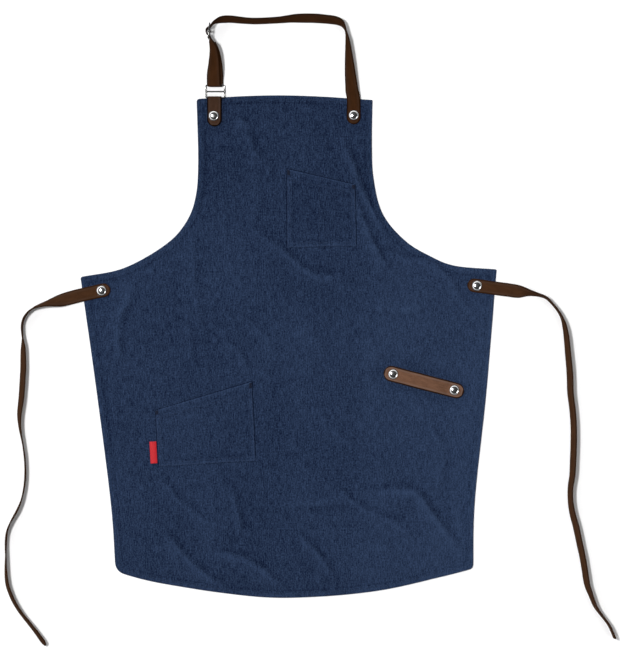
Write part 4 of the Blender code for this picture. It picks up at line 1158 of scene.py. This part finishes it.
def denim_materials(cloth):
    """The face and the reverse of the denim."""
    return [shared_material(denim_face, "indigo denim", cloth),
            shared_material(denim_back, "denim reverse", cloth)]


def topstitching(cloth):
    """The thread of all topstitching."""
    return shared_material(sewing_thread, "sewing thread", tuple(cloth.sewing))


# ------------------------------------------------------------ cloth pieces

class Pocket:
    """A patch pocket: places on it are told from its lower left corner, across and up its two sides."""

    def __init__(self, corners, lie, cloth):
        self.corners = np.array(corners)
        self.lie = lie
        self.cloth = cloth
        low_left, low_right, top_right, top_left = self.corners
        self.width = 0.5 * (np.linalg.norm(low_right - low_left) + np.linalg.norm(top_right - top_left))
        self.height = 0.5 * (np.linalg.norm(top_left - low_left) + np.linalg.norm(top_right - low_right))

    def spread(self, s, t):
        """Places in the frame of places on the pocket: a blend of its four corners."""
        u = (s / self.width)[:, None]
        v = (t / self.height)[:, None]
        low_left, low_right, top_right, top_left = self.corners
        return (1 - v) * ((1 - u) * low_left + u * low_right) + v * ((1 - u) * top_left + u * top_right)

    def rise(self, s, t):
        """How far the pocket stands off the panel: a sine across it, growing towards its mouth."""
        u = np.clip(s / self.width, 0.0, 1.0)
        v = np.clip(t / self.height, 0.0, 1.0)
        gape = np.sin(math.pi * u) ** 0.8 * np.sin(0.5 * math.pi * v) ** 1.6 * self.cloth.mouth_rise
        slack = 1 + soft_noise(s / 0.022 + 1.3, t / 0.050, 31)
        return gape + 0.0007 * slack * np.sin(math.pi * u) ** 0.5 * np.sqrt(v)

    def inset(self, s, t, radius=0.0020):
        """The distance to the pocket's edge, and the place, with the corners rounded.

        Near a corner, with p and q the shares of the radius that are left to its two sides, the place moves
        to p sqrt(1 - q^2 / 2), q sqrt(1 - p^2 / 2), which turns the square corner into a quarter circle.
        """
        near_s = np.minimum(s, self.width - s)
        near_t = np.minimum(t, self.height - t)
        p = covered(radius - near_s, radius)
        q = covered(radius - near_t, radius)
        round_p = p * np.sqrt(1 - 0.5 * q * q)
        round_q = q * np.sqrt(1 - 0.5 * p * p)
        at_corner = (p > 0) & (q > 0)
        inset = np.where(at_corner, radius * (1 - np.hypot(round_p, round_q)), np.minimum(near_s, near_t))
        new_s = np.where(at_corner, np.where(s < 0.5 * self.width, radius * (1 - round_p),
                                             self.width - radius * (1 - round_p)), s)
        new_t = np.where(at_corner, np.where(t < 0.5 * self.height, radius * (1 - round_q),
                                             self.height - radius * (1 - round_q)), t)
        return np.maximum(inset, 0.0), new_s, new_t

    def faces(self, s, t):
        """The heights of the lower and the upper face, with turned edges twice as thick and rounded."""
        inset, s, t = self.inset(s, t)
        places = self.spread(s, t)
        ground = self.lie.faces(places)[1]
        layer = 0.9 * self.cloth.thickness
        down = self.height - t
        turned = np.maximum(1 - smoothstep(0.0085, 0.0100, inset), 1 - smoothstep(0.0170, 0.0190, down))
        groove = sum(np.exp(-0.5 * ((inset - row) / 0.0007) ** 2) for row in SEAM_INSETS)
        groove = groove * (down > 0.0080) + np.exp(-0.5 * ((down - MOUTH_STITCH) / 0.0007) ** 2)
        rope = np.sin(2 * math.pi * (s + t) / 0.0095) * np.exp(-0.5 * ((inset - 0.0045) / 0.0030) ** 2)
        bulge = rounded(inset, layer)
        base = ground + 0.00008 + self.rise(s, t)
        upper = base + layer * (1 + turned) - 0.00020 * groove + 0.00009 * rope
        lower = base + 0.5 * layer * (1 - turned) * smoothstep(0.008, 0.014, inset)
        middle = base + layer
        return places, middle + (lower - middle) * bulge, middle + (upper - middle) * bulge

    def top(self, s, t):
        """Points on the pocket's upper face."""
        places, _, upper = self.faces(s, t)
        return np.column_stack([places, upper])

    def build(self, name, offset):
        """The pocket as one closed shell of cloth. Offset sets its weave apart from the panel's."""
        s_line = pocket_lines(self.width)
        t_line = np.sort(np.concatenate([pocket_lines(self.height), self.height - np.array(MOUTH_INSETS)]))
        grid_t, grid_s = (part.ravel() for part in np.meshgrid(t_line, s_line, indexing="ij"))
        places, lower, upper = self.faces(grid_s, grid_t)
        rows = len(t_line)
        columns = len(s_line)
        row, column = np.divmod(np.arange(rows * columns), columns)
        rim = (row == 0) | (row == rows - 1) | (column == 0) | (column == columns - 1)
        below = np.where(rim, np.arange(rows * columns), rows * columns + np.cumsum(~rim) - 1)
        faces = grid_faces(rows, columns)
        flat = np.column_stack([grid_s, grid_t]) + offset
        inset = self.inset(grid_s, grid_t)[0]
        # Painted highlight: a paler band along the pocket's raised, rolled edge.
        wear = 0.55 * smoothstep(0.0009, 0.0015, inset) * (1 - smoothstep(0.0020, 0.0036, inset))
        # Painted shadow: a dark line along the pocket's sides and mouth, not along its bottom.
        sewn = 1 - smoothstep(0.0, 0.0040, grid_t)
        wear -= 1.5 * (1 - smoothstep(0.0006, 0.0012, inset)) * (1 - sewn)
        # Painted shade and painted highlight: darker in hollows and paler on crests, where the cloth is also
        # worn.
        wear += relief(lambda shift: self.top(grid_s + shift[0], grid_t + shift[1])[:, 2], 0.006) * 0.55
        # Painted shade: a dark line along the inner step of the turned edge.
        wear -= 0.30 * np.exp(-0.5 * ((inset - 0.0095) / 0.0006) ** 2)
        top = np.column_stack([places, upper])
        bottom = np.column_stack([places, lower])[~rim]
        pieces = Pieces()
        pieces.add(np.vstack([top, bottom]), [faces, below[faces][:, ::-1]],
                   np.vstack([flat, flat[~rim]]), np.concatenate([wear, wear[~rim]]))
        return pieces.make(name, denim_materials(self.cloth))


def pocket_lines(size):
    """Stations across a pocket of this size, crowded towards both edges."""
    near = np.array(POCKET_INSETS)
    margin = 0.0130
    count = int((size - 2 * margin) / POCKET_PITCH)
    return np.concatenate([near, np.linspace(margin, size - margin, count), size - near[::-1]])


def relief(height_at, reach):
    """How far a place stands above the mean of four places around it, from -1 to 1 at one millimetre."""
    shifts = [(reach, 0.0), (-reach, 0.0), (0.0, reach), (0.0, -reach)]
    around = sum(height_at(np.array(shift)) for shift in shifts) / 4
    return np.clip((height_at(np.zeros(2)) - around) / 0.0010, -1.0, 1.0)


def build_panel(lie, cloth):
    """The panel as one closed shell: its face, its back and the rounded edge where they meet."""
    edge = lie.edge
    rows = [edge.row_inside(inset) for inset in PANEL_INSETS]
    low, high = edge.loop.min(axis=0), edge.loop.max(axis=0)
    pitch = cloth.pitch
    across, up = np.meshgrid(np.arange(low[0], high[0], pitch), np.arange(low[1], high[1], 0.866 * pitch))
    across = across + 0.5 * pitch * (np.arange(len(up)) % 2)[:, None]
    lattice = np.column_stack([across.ravel(), up.ravel()])
    count = len(edge.loop)
    deep = edge.inward(lattice)[0] > PANEL_INSETS[-1] + 0.5 * pitch
    lattice = lattice[deep & lies_inside(lattice, edge.loop)]
    flat = np.vstack([edge.loop] + rows + [lattice])
    sides = [(index, (index + 1) % count) for index in range(count)]
    found, _, faces, first, _, _ = delaunay_2d_cdt([Vector(point) for point in flat], sides, [], 1, 1e-7)
    places = np.array([tuple(point) for point in found])
    rim = np.array([min(source, default=count) < count for source in first])
    faces = np.array(faces)
    a, b, c = (places[faces[:, corner]] for corner in range(3))
    area = (b[:, 0] - a[:, 0]) * (c[:, 1] - a[:, 1]) - (b[:, 1] - a[:, 1]) * (c[:, 0] - a[:, 0])
    faces = np.where((area < 0)[:, None], faces[:, ::-1], faces)
    lower, upper, inward = lie.faces(places)
    below = np.where(rim, np.arange(len(places)), len(places) + np.cumsum(~rim) - 1)
    # Painted shade and painted highlight: darker in the folds' hollows and paler on their crests, where the
    # cloth is also worn.
    wear = relief(lambda shift: lie.folds(places + shift), 0.007) * 0.75
    # Paler at the worn edge and in a band along the hem's roll.
    wear += 1.0 * (1 - smoothstep(0.0, 0.0012, inward))
    wear += 0.22 * np.exp(-0.5 * ((inward - 0.0035) / 0.0018) ** 2)
    # Painted shade: a dark line along the hem's inner step.
    wear -= 0.42 * np.exp(-0.5 * ((inward - 0.0112) / 0.0010) ** 2)
    top = np.column_stack([places, upper])
    bottom = np.column_stack([places, lower])[~rim]
    bare = inward[faces].mean(axis=1) > cloth.hem_width
    groups = [faces, below[faces[~bare]][:, ::-1], below[faces[bare]][:, ::-1]]
    pieces = Pieces()
    pieces.add(np.vstack([top, bottom]), groups, np.vstack([places, places[~rim]]),
               np.concatenate([wear, np.zeros(len(bottom))]), (0, 0, 1))
    return pieces.make("apron_panel", denim_materials(cloth))


def lies_inside(points, loop):
    """True for the points inside a closed loop: a ray along X crosses it an odd number of times."""
    ends = np.roll(loop, -1, axis=0)
    inside = np.zeros(len(points), dtype=bool)
    for first in range(0, len(points), BLOCK):
        x = points[first:first + BLOCK, None, 0]
        y = points[first:first + BLOCK, None, 1]
        spans = (loop[None, :, 1] > y) != (ends[None, :, 1] > y)
        rise = ends[None, :, 1] - loop[None, :, 1]
        rise = np.where(np.abs(rise) < 1e-12, 1e-12, rise)
        meet = loop[None, :, 0] + (y - loop[None, :, 1]) / rise * (ends[None, :, 0] - loop[None, :, 0])
        inside[first:first + BLOCK] = (spans & (x < meet)).sum(axis=1) % 2 == 1
    return inside


def hem_stitches(lie, cloth):
    """The topstitching that holds the turned hem, on the face of the panel."""
    row = lie.edge.row_inside(cloth.stitch_inset)
    lengths = lengths_along(row)
    row = resample(row, lengths, np.arange(0.0, lengths[-1], 0.0012))
    row = np.column_stack([row, lie.faces(row)[1]])
    centres, directions = stitches_along(np.vstack([row, row[:1]]), cloth)
    pieces = Pieces()
    stitch_row(pieces, centres, directions, cloth.stitch_length, cloth.thread)
    return pieces.make("hem_stitching", [topstitching(cloth)])


def pocket_stitches(pocket, cloth, name, divider):
    """Two rows round a pocket's sewn sides, one along its mouth's hem and, in a divided one, one up it.

    Divider is the share of the width at which that last row stands.
    """
    pieces = Pieces()
    width = pocket.width
    height = pocket.height
    stop = height - 0.0035
    lines = [[(inset, stop), (inset, inset), (width - inset, inset), (width - inset, stop)]
             for inset in SEAM_INSETS]
    lines.append([(0.0030, height - MOUTH_STITCH), (width - 0.0030, height - MOUTH_STITCH)])
    if divider:
        lines.append([(divider * width, 0.0010), (divider * width, height - 0.0030)])
    for corners in lines:
        corners = np.array(corners)
        lengths = lengths_along(corners)
        run = resample(corners, lengths, np.linspace(0.0, lengths[-1], int(lengths[-1] / 0.0008)))
        centres, directions = stitches_along(pocket.top(run[:, 0], run[:, 1]), cloth)
        stitch_row(pieces, centres, directions, cloth.stitch_length, cloth.thread)
    return pieces.make(name, [topstitching(cloth)])


def bar_tacks(pockets, cloth):
    """Dense short bars of thread that lock the two ends of each pocket's mouth."""
    pieces = Pieces()
    for pocket in pockets:
        for left in (0.0012, pocket.width - 0.0052):
            t = pocket.height - 0.0022 - np.arange(TACK_COUNT) * TACK_STEP
            s = np.full(TACK_COUNT, left + 0.0020)
            centres = pocket.top(s, t)
            centres[:, 2] += 0.00012
            directions = unit(pocket.top(s + 0.0010, t) - pocket.top(s - 0.0010, t))
            stitch_row(pieces, centres, directions, TACK_LENGTH, TACK_THREAD)
    return pieces.make("bar_tacks", [shared_material(sewing_thread, "tacking thread", tuple(cloth.tacking))])


def build_label(lie, cloth):
    """A folded loop of ribbon whose two ends go under the pocket's edge: flat, half a turn, and flat back."""
    half = 0.0052
    turn = 0.0011
    angles = np.linspace(1.5 * math.pi, 0.5 * math.pi, 13)
    fold = np.column_stack([turn * np.cos(angles) - half + turn, turn * np.sin(angles)])
    low = np.column_stack([np.linspace(half, -half + turn, 14)[:-1], np.full(13, -turn)])
    share = np.linspace(0.0, 1.0, 14)[1:]
    top = np.column_stack([-half + turn + (2 * half - turn) * share,
                           turn + 0.0006 * np.sin(math.pi * share) - 0.0012 * share ** 2])
    run = np.vstack([low, fold, top])
    cosine = math.cos(LABEL_TURN)
    sine = math.sin(LABEL_TURN)
    centre = np.array([LABEL_CENTRE])
    ground = max(lie.faces(centre + np.array([[-0.005, 0.0]]))[1].max(), lie.faces(centre)[1].max())
    path = np.column_stack([LABEL_CENTRE[0] + run[:, 0] * cosine, LABEL_CENTRE[1] + run[:, 0] * sine,
                            ground + turn + 0.0005 + run[:, 1],
                            np.full(len(run), -sine), np.full(len(run), cosine), np.zeros(len(run))])
    pieces = Pieces()
    carry_strap(pieces, ease(path, 0.0004, 2), LABEL_LENGTH, LABEL_THICKNESS, dome=0.0)
    return pieces.make("label_ribbon", [woven_ribbon("red ribbon", tuple(cloth.ribbon))])


# ------------------------------------------------------------ metal pieces

def cap_profile(metal, seat):
    """A rivet's cap: a flat base, a rolled rim and a dome whose height falls as an ellipse's does."""
    radius = metal.cap_radius
    rim = [(0.0, seat), (radius - 0.0006, seat), (radius - 0.0002, seat + 0.00015), (radius, seat + 0.0005),
           (radius - 0.0001, seat + 0.0009), (radius - 0.0004, seat + 0.0012)]
    angles = np.linspace(math.radians(8), math.radians(88), 16)
    inner = radius - 0.0005
    height = metal.cap_height - 0.0008
    dome = np.column_stack([inner * np.cos(angles), seat + 0.0008 + height * np.sin(angles) ** 0.9])
    return np.vstack([rim, dome[2:], [(0.0, seat + 0.0008 + height)]])


def three_bar_loop(pieces, metal, centre, right, up, half):
    """A wire frame with rounded corners, a middle bar, and the bar's ends rolled round the side wires."""
    centre = np.asarray(centre)
    right = np.asarray(right, dtype=float)
    up = np.asarray(up, dtype=float)
    half_width, half_height = half
    corner = 0.0024
    angles = np.linspace(0.0, 0.5 * math.pi, 9)
    quarter = np.column_stack([half_width - corner + corner * np.cos(angles),
                               half_height - corner + corner * np.sin(angles)])
    upper = np.vstack([quarter, quarter[::-1] * (-1, 1)])
    flat = np.vstack([upper, -upper])
    depth = np.cross(right, up)
    tube(centre + flat[:, :1] * right + flat[:, 1:] * up, depth, metal.wire_radius, 16, pieces)
    bar = np.linspace(-half_width, half_width, 9)[:, None]
    tube(centre + bar * right, depth, metal.bar_radius, 14, pieces, closed=False)
    barrel = [(0.0, -0.0016), (0.0011, -0.0016), (0.00140, -0.0013), (0.00148, -0.0006), (0.00148, 0.0006),
              (0.00140, 0.0013), (0.0011, 0.0016), (0.0, 0.0016)]
    for side in (-1, 1):
        turn_round(barrel, centre + side * half_width * right, up, 16, pieces)


def post_profile(metal, top):
    """A rivet's base, a flat disc with a rounded rim behind the cloth, and the post that stands on it."""
    low = -0.0001
    high = 0.0007
    return [(0.0, low), (metal.base_radius - 0.0002, low), (metal.base_radius, 0.0001),
            (metal.base_radius, 0.0004), (metal.base_radius - 0.0004, high),
            (metal.post_radius, high), (metal.post_radius, top), (0.0, top)]


def leather_tops(leather):
    """The height of the leather under each rivet's cap."""
    tie = SEAT + leather.tie_thickness
    loop = SEAT + leather.loop_thickness
    tab = RING_CENTRE[2] - BAR_RADIUS - BAR_CLEARANCE + leather.tab_thickness + TAB_GAP
    return {"tab": tab, "strap": SEAT + leather.neck_thickness, "left_tie": tie, "right_tie": tie,
            "loop_inner": loop, "loop_outer": loop}


# ------------------------------------------------------------ the stage

def lay_floor(scene):
    """A wide sheet of white paper just under the apron."""
    half = FLOOR_HALF
    corners = [(-half, -half, FLOOR_HEIGHT), (half, -half, FLOOR_HEIGHT), (half, half, FLOOR_HEIGHT),
               (-half, half, FLOOR_HEIGHT)]
    mesh = bpy.data.meshes.new("white_floor")
    mesh.from_pydata(corners, [], [(0, 1, 2, 3)])
    paper = Shade("white paper", Roughness=0.9, Specular_IOR_Level=0.1)
    grain = paper.noise(paper.place(), (0.02, 0.02, 0.02))
    paper.feed("Base Color", paper.blend(grain, (0.90, 0.90, 0.905), (0.92, 0.92, 0.92)))
    mesh.materials.append(paper.material)
    floor = bpy.data.objects.new("white_floor", mesh)
    scene.collection.objects.link(floor)


def hang_light(scene, name, power, place, size):
    """A round softbox that faces the middle of the floor."""
    lamp = bpy.data.lights.new(name, "AREA")
    lamp.shape = "DISK"
    lamp.size = size
    lamp.energy = power
    holder = bpy.data.objects.new(name, lamp)
    holder.location = place
    holder.rotation_euler = (-Vector(place)).to_track_quat("-Z", "Y").to_euler()
    scene.collection.objects.link(holder)


def light_room(stage):
    """Light from all round: brightest near eye height and on the window's side, and even where it is seen."""
    world = bpy.data.worlds.new("studio")
    world.use_nodes = True
    room = Tree(world.node_tree, "Background")
    toward = room.node("ShaderNodeTexCoord", None, None, "Generated")
    height = room.node("ShaderNodeSeparateXYZ", None, {0: toward}, "Z")
    tone = room.node("ShaderNodeValToRGB", {"stops": ROOM_TONES}, {0: height})
    facing = room.node("ShaderNodeVectorMath", {"operation": "DOT_PRODUCT"}, {0: toward, 1: WINDOW_SIDE},
                       "Value")
    side = room.node("ShaderNodeMapRange", None, dict(enumerate((facing, *WINDOW_SPAN, *WINDOW_TONES))))
    lit = room.node("ShaderNodeVectorMath", {"operation": "SCALE"}, {0: tone, "Scale": side})
    seen = room.node("ShaderNodeLightPath", None, None, "Is Camera Ray")
    room.feed("Color", room.node("ShaderNodeMix", {"data_type": "RGBA"}, {0: seen, 6: lit, 7: BACKDROP}, 2))
    room.surface.inputs["Strength"].default_value = stage.room
    return world


# ------------------------------------------------------------ operators

class APRON_OT_stage(bpy.types.Operator):
    """Put up the camera, the floor and the lights"""

    bl_idname = "apron.stage"
    bl_label = "Stage"
    bl_options = {"REGISTER", "UNDO"}

    def execute(self, context):
        """A camera straight above, a white floor, two softboxes and light from all round."""
        scene = context.scene
        stage = scene.apron_stage
        view = bpy.data.cameras.new("overhead camera")
        view.sensor_fit = "AUTO"
        view.sensor_width = 36.0
        view.lens = view.sensor_width * stage.camera_height / stage.view_height
        view.clip_end = 50.0
        camera = bpy.data.objects.new("overhead camera", view)
        camera.location = (stage.view_x, stage.view_y, stage.camera_height)
        scene.collection.objects.link(camera)
        scene.camera = camera
        scene.view_settings.view_transform = "Standard"
        lay_floor(scene)
        hang_light(scene, "key softbox", stage.key_power, KEY_PLACE, KEY_SIZE)
        hang_light(scene, "fill softbox", stage.fill_power, FILL_PLACE, FILL_SIZE)
        scene.world = light_room(stage)
        return {"FINISHED"}


class APRON_OT_ties(bpy.types.Operator):
    """Make the two waist ties"""

    bl_idname = "apron.ties"
    bl_label = "Waist Ties"
    bl_options = {"REGISTER", "UNDO"}

    def execute(self, context):
        """Each has a rounded end under its rivet. The left tie's tip is rounded, the right one's is cut."""
        leather = context.scene.apron_leather
        width = leather.tie_width
        skin = grained_leather("brown leather", tuple(leather.tie_colour), 0.55, 0.46)
        for side, route, tip in (("left", LEFT_TIE_ROUTE, 0.5), ("right", RIGHT_TIE_ROUTE, 0.0)):
            path = tie_path(route, RIVETS[side + "_tie"], leather)
            pieces = Pieces()
            carry_strap(pieces, path, width, leather.tie_thickness, 0.5 * width, tip * width, wobble=0.00012)
            tie = pieces.make("waist_tie_" + side, [skin], CREASE_ANGLE)
            settle(tie, side + "_waist_tie", "brown_leather", side + "_tie")
        return {"FINISHED"}


class APRON_OT_panel(bpy.types.Operator):
    """Make the denim panel and the stitching of its hem"""

    bl_idname = "apron.panel"
    bl_label = "Panel"
    bl_options = {"REGISTER", "UNDO"}

    def execute(self, context):
        """One sheet of cloth with a turned hem, and its topstitching."""
        cloth = context.scene.apron_cloth
        lie = Lie(cloth)
        panel = build_panel(lie, cloth)
        settle(panel, "apron", "denim", "body_panel")
        stitching = hem_stitches(lie, cloth)
        settle(stitching, "apron", "denim")
        return {"FINISHED"}


class APRON_OT_pockets(bpy.types.Operator):
    """Make the two patch pockets with their stitching"""

    bl_idname = "apron.pockets"
    bl_label = "Pockets"
    bl_options = {"REGISTER", "UNDO"}

    def execute(self, context):
        """Each pocket is a sheet of its own that follows the panel under it."""
        cloth = context.scene.apron_cloth
        lie = Lie(cloth)
        pockets = []
        for name, corners, divider in (("bib_pocket", BIB_POCKET, 0.47), ("hip_pocket", HIP_POCKET, 0.0)):
            pocket = Pocket(corners, lie, cloth)
            pockets.append(pocket)
            patch = pocket.build(name + "_cloth", (1.7 + len(pockets), 0.9))
            settle(patch, "apron", "denim", name)
            rows = pocket_stitches(pocket, cloth, name + "_stitching", divider)
            settle(rows, "apron", "denim")
        settle(bar_tacks(pockets, cloth), "apron", "denim")
        return {"FINISHED"}


class APRON_OT_label(bpy.types.Operator):
    """Make the ribbon label"""

    bl_idname = "apron.label"
    bl_label = "Label"
    bl_options = {"REGISTER", "UNDO"}

    def execute(self, context):
        """A folded ribbon at the hip pocket's side."""
        cloth = context.scene.apron_cloth
        label = build_label(Lie(cloth), cloth)
        settle(label, "apron", "red_ribbon", "label_tab")
        return {"FINISHED"}


class APRON_OT_neck_strap(bpy.types.Operator):
    """Make the neck strap and its skived end in the slider"""

    bl_idname = "apron.neck_strap"
    bl_label = "Neck Strap"
    bl_options = {"REGISTER", "UNDO"}

    def execute(self, context):
        """The strap from its rivet over the top, through the slider and round the ring, and its skived end on
        the adjuster.
        """
        leather = context.scene.apron_leather
        width = leather.neck_width
        skin = grained_leather("dark leather", tuple(leather.neck_colour), 0.45, 0.42)
        pieces = Pieces()
        carry_strap(pieces, neck_path(leather), width, leather.neck_thickness, 0.5 * width, wobble=0.00010)
        strap = pieces.make("neck_strap_leather", [skin], CREASE_ANGLE)
        stand_for(strap, "dark_leather", "neck_strap", "neck_strap_end")
        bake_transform(strap)
        pieces = Pieces()
        carry_strap(pieces, tail_path(), width - 0.0002, 2 * TAIL_HALF)
        tail = pieces.make("strap_tail_leather", [skin], CREASE_ANGLE)
        settle(tail, "adjuster", "dark_leather", "strap_tail")
        return {"FINISHED"}


class APRON_OT_tab_and_loop(bpy.types.Operator):
    """Make the ring's tab and the utility loop"""

    bl_idname = "apron.tab_and_loop"
    bl_label = "Tab and Utility Loop"
    bl_options = {"REGISTER", "UNDO"}

    def execute(self, context):
        """Two short pieces of leather that are riveted to the panel."""
        leather = context.scene.apron_leather
        for name, path, width, thickness, tint, slot, node in (
                ("ring_tab_leather", tab_path(leather), leather.tab_width, leather.tab_thickness,
                 leather.tab_colour, "brown_leather", "ring_tab"),
                ("utility_loop_leather", loop_path(leather), leather.loop_width, leather.loop_thickness,
                 leather.loop_colour, "light_leather", "utility_loop")):
            # A near-black rim of burnish and painted contact shadow.
            skin = grained_leather(name.replace("_", " "), tuple(tint), 0.09, 0.50)
            pieces = Pieces()
            carry_strap(pieces, path, width, thickness, 0.5 * width, 0.5 * width, wobble=0.00012)
            settle(pieces.make(name, [skin], CREASE_ANGLE), "apron", slot, node)
        return {"FINISHED"}


class APRON_OT_hardware(bpy.types.Operator):
    """Make the ring, the slider and the rivets"""

    bl_idname = "apron.hardware"
    bl_label = "Ring, Slider and Rivets"
    bl_options = {"REGISTER", "UNDO"}

    def execute(self, context):
        """Plated wire loops, domed caps, and the posts that hold the caps through the cloth."""
        leather = context.scene.apron_leather
        metal = context.scene.apron_metal
        plating = plated_metal("cap plating", tuple(metal.tint), metal.roughness, 0.10)
        # Painted shade: the wire gets a darkened copy of the caps' chrome.
        wire = plated_metal("plated wire", tuple(metal.shaded_wire_tint), metal.roughness, 0.10)
        pieces = Pieces()
        three_bar_loop(pieces, metal, RING_CENTRE, (1, 0, 0), (0, 1, 0), RING_HALF)
        settle(pieces.make("ring_wire", [wire], CREASE_ANGLE), "neck_loop", "chrome", "ring")
        pieces = Pieces()
        along = (-math.sin(SLIDER_TURN), math.cos(SLIDER_TURN), 0.0)
        three_bar_loop(pieces, metal, SLIDER_CENTRE, (0, 0, 1), along, SLIDER_HALF)
        settle(pieces.make("slider_wire", [wire], CREASE_ANGLE), "adjuster", "chrome", "slider")

        bodies = {"left_tie": "left_waist_tie", "right_tie": "right_waist_tie"}
        posts = Pieces()
        for name, top in leather_tops(leather).items():
            place = (*RIVETS[name], 0.0)
            pieces = Pieces()
            turn_round(cap_profile(metal, top), place, (0, 0, 1), 48, pieces)
            cap = pieces.make("cap_" + name, [plating], 60)
            settle(cap, bodies.get(name, "apron"), "chrome", "rivet_cap_" + name)
            turn_round(post_profile(metal, top - 0.0001), place, (0, 0, 1), 32, posts)
        plated = plated_metal("plated post", (0.55, 0.54, 0.52), 0.32, 0.15)
        settle(posts.make("rivet_posts", [plated], 40), "apron", "plated_post",
               *["rivet_post_" + name for name in RIVETS])
        return {"FINISHED"}


class APRON_PT_making(bpy.types.Panel):
    """The steps of the making, and what can be changed"""

    bl_idname = "APRON_PT_making"
    bl_label = "Apron"
    bl_space_type = "VIEW_3D"
    bl_region_type = "UI"
    bl_category = "Apron"

    def draw(self, context):
        """A button for each step, and the settings under their own headings."""
        layout = self.layout
        for step in STEPS:
            layout.operator(step.bl_idname)
        scene = context.scene
        for label, settings in (("Cloth", scene.apron_cloth), ("Leather", scene.apron_leather),
                                ("Metal", scene.apron_metal), ("Stage", scene.apron_stage)):
            layout.label(text=label)
            for name in settings.__annotations__:
                layout.prop(settings, name)


STEPS = (APRON_OT_stage, APRON_OT_ties, APRON_OT_panel, APRON_OT_pockets, APRON_OT_label, APRON_OT_neck_strap,
         APRON_OT_tab_and_loop, APRON_OT_hardware)
SETTINGS = {"apron_cloth": ApronClothSettings, "apron_leather": ApronLeatherSettings,
            "apron_metal": ApronMetalSettings, "apron_stage": ApronStageSettings}


def register():
    """Make the settings, the steps and their panel known."""
    for name, settings in SETTINGS.items():
        bpy.utils.register_class(settings)
        setattr(bpy.types.Scene, name, bpy.props.PointerProperty(type=settings))
    for step in (*STEPS, APRON_PT_making):
        bpy.utils.register_class(step)


def unregister():
    """Take them away again."""
    for step in reversed((*STEPS, APRON_PT_making)):
        bpy.utils.unregister_class(step)
    for name, settings in SETTINGS.items():
        delattr(bpy.types.Scene, name)
        bpy.utils.unregister_class(settings)


def main():
    """Make everything in order."""
    register()
    bpy.ops.apron.stage()
    bpy.ops.apron.ties()
    bpy.ops.apron.panel()
    bpy.ops.apron.pockets()
    bpy.ops.apron.label()
    bpy.ops.apron.neck_strap()
    bpy.ops.apron.tab_and_loop()
    bpy.ops.apron.hardware()


if __name__ == "__main__":
    main()
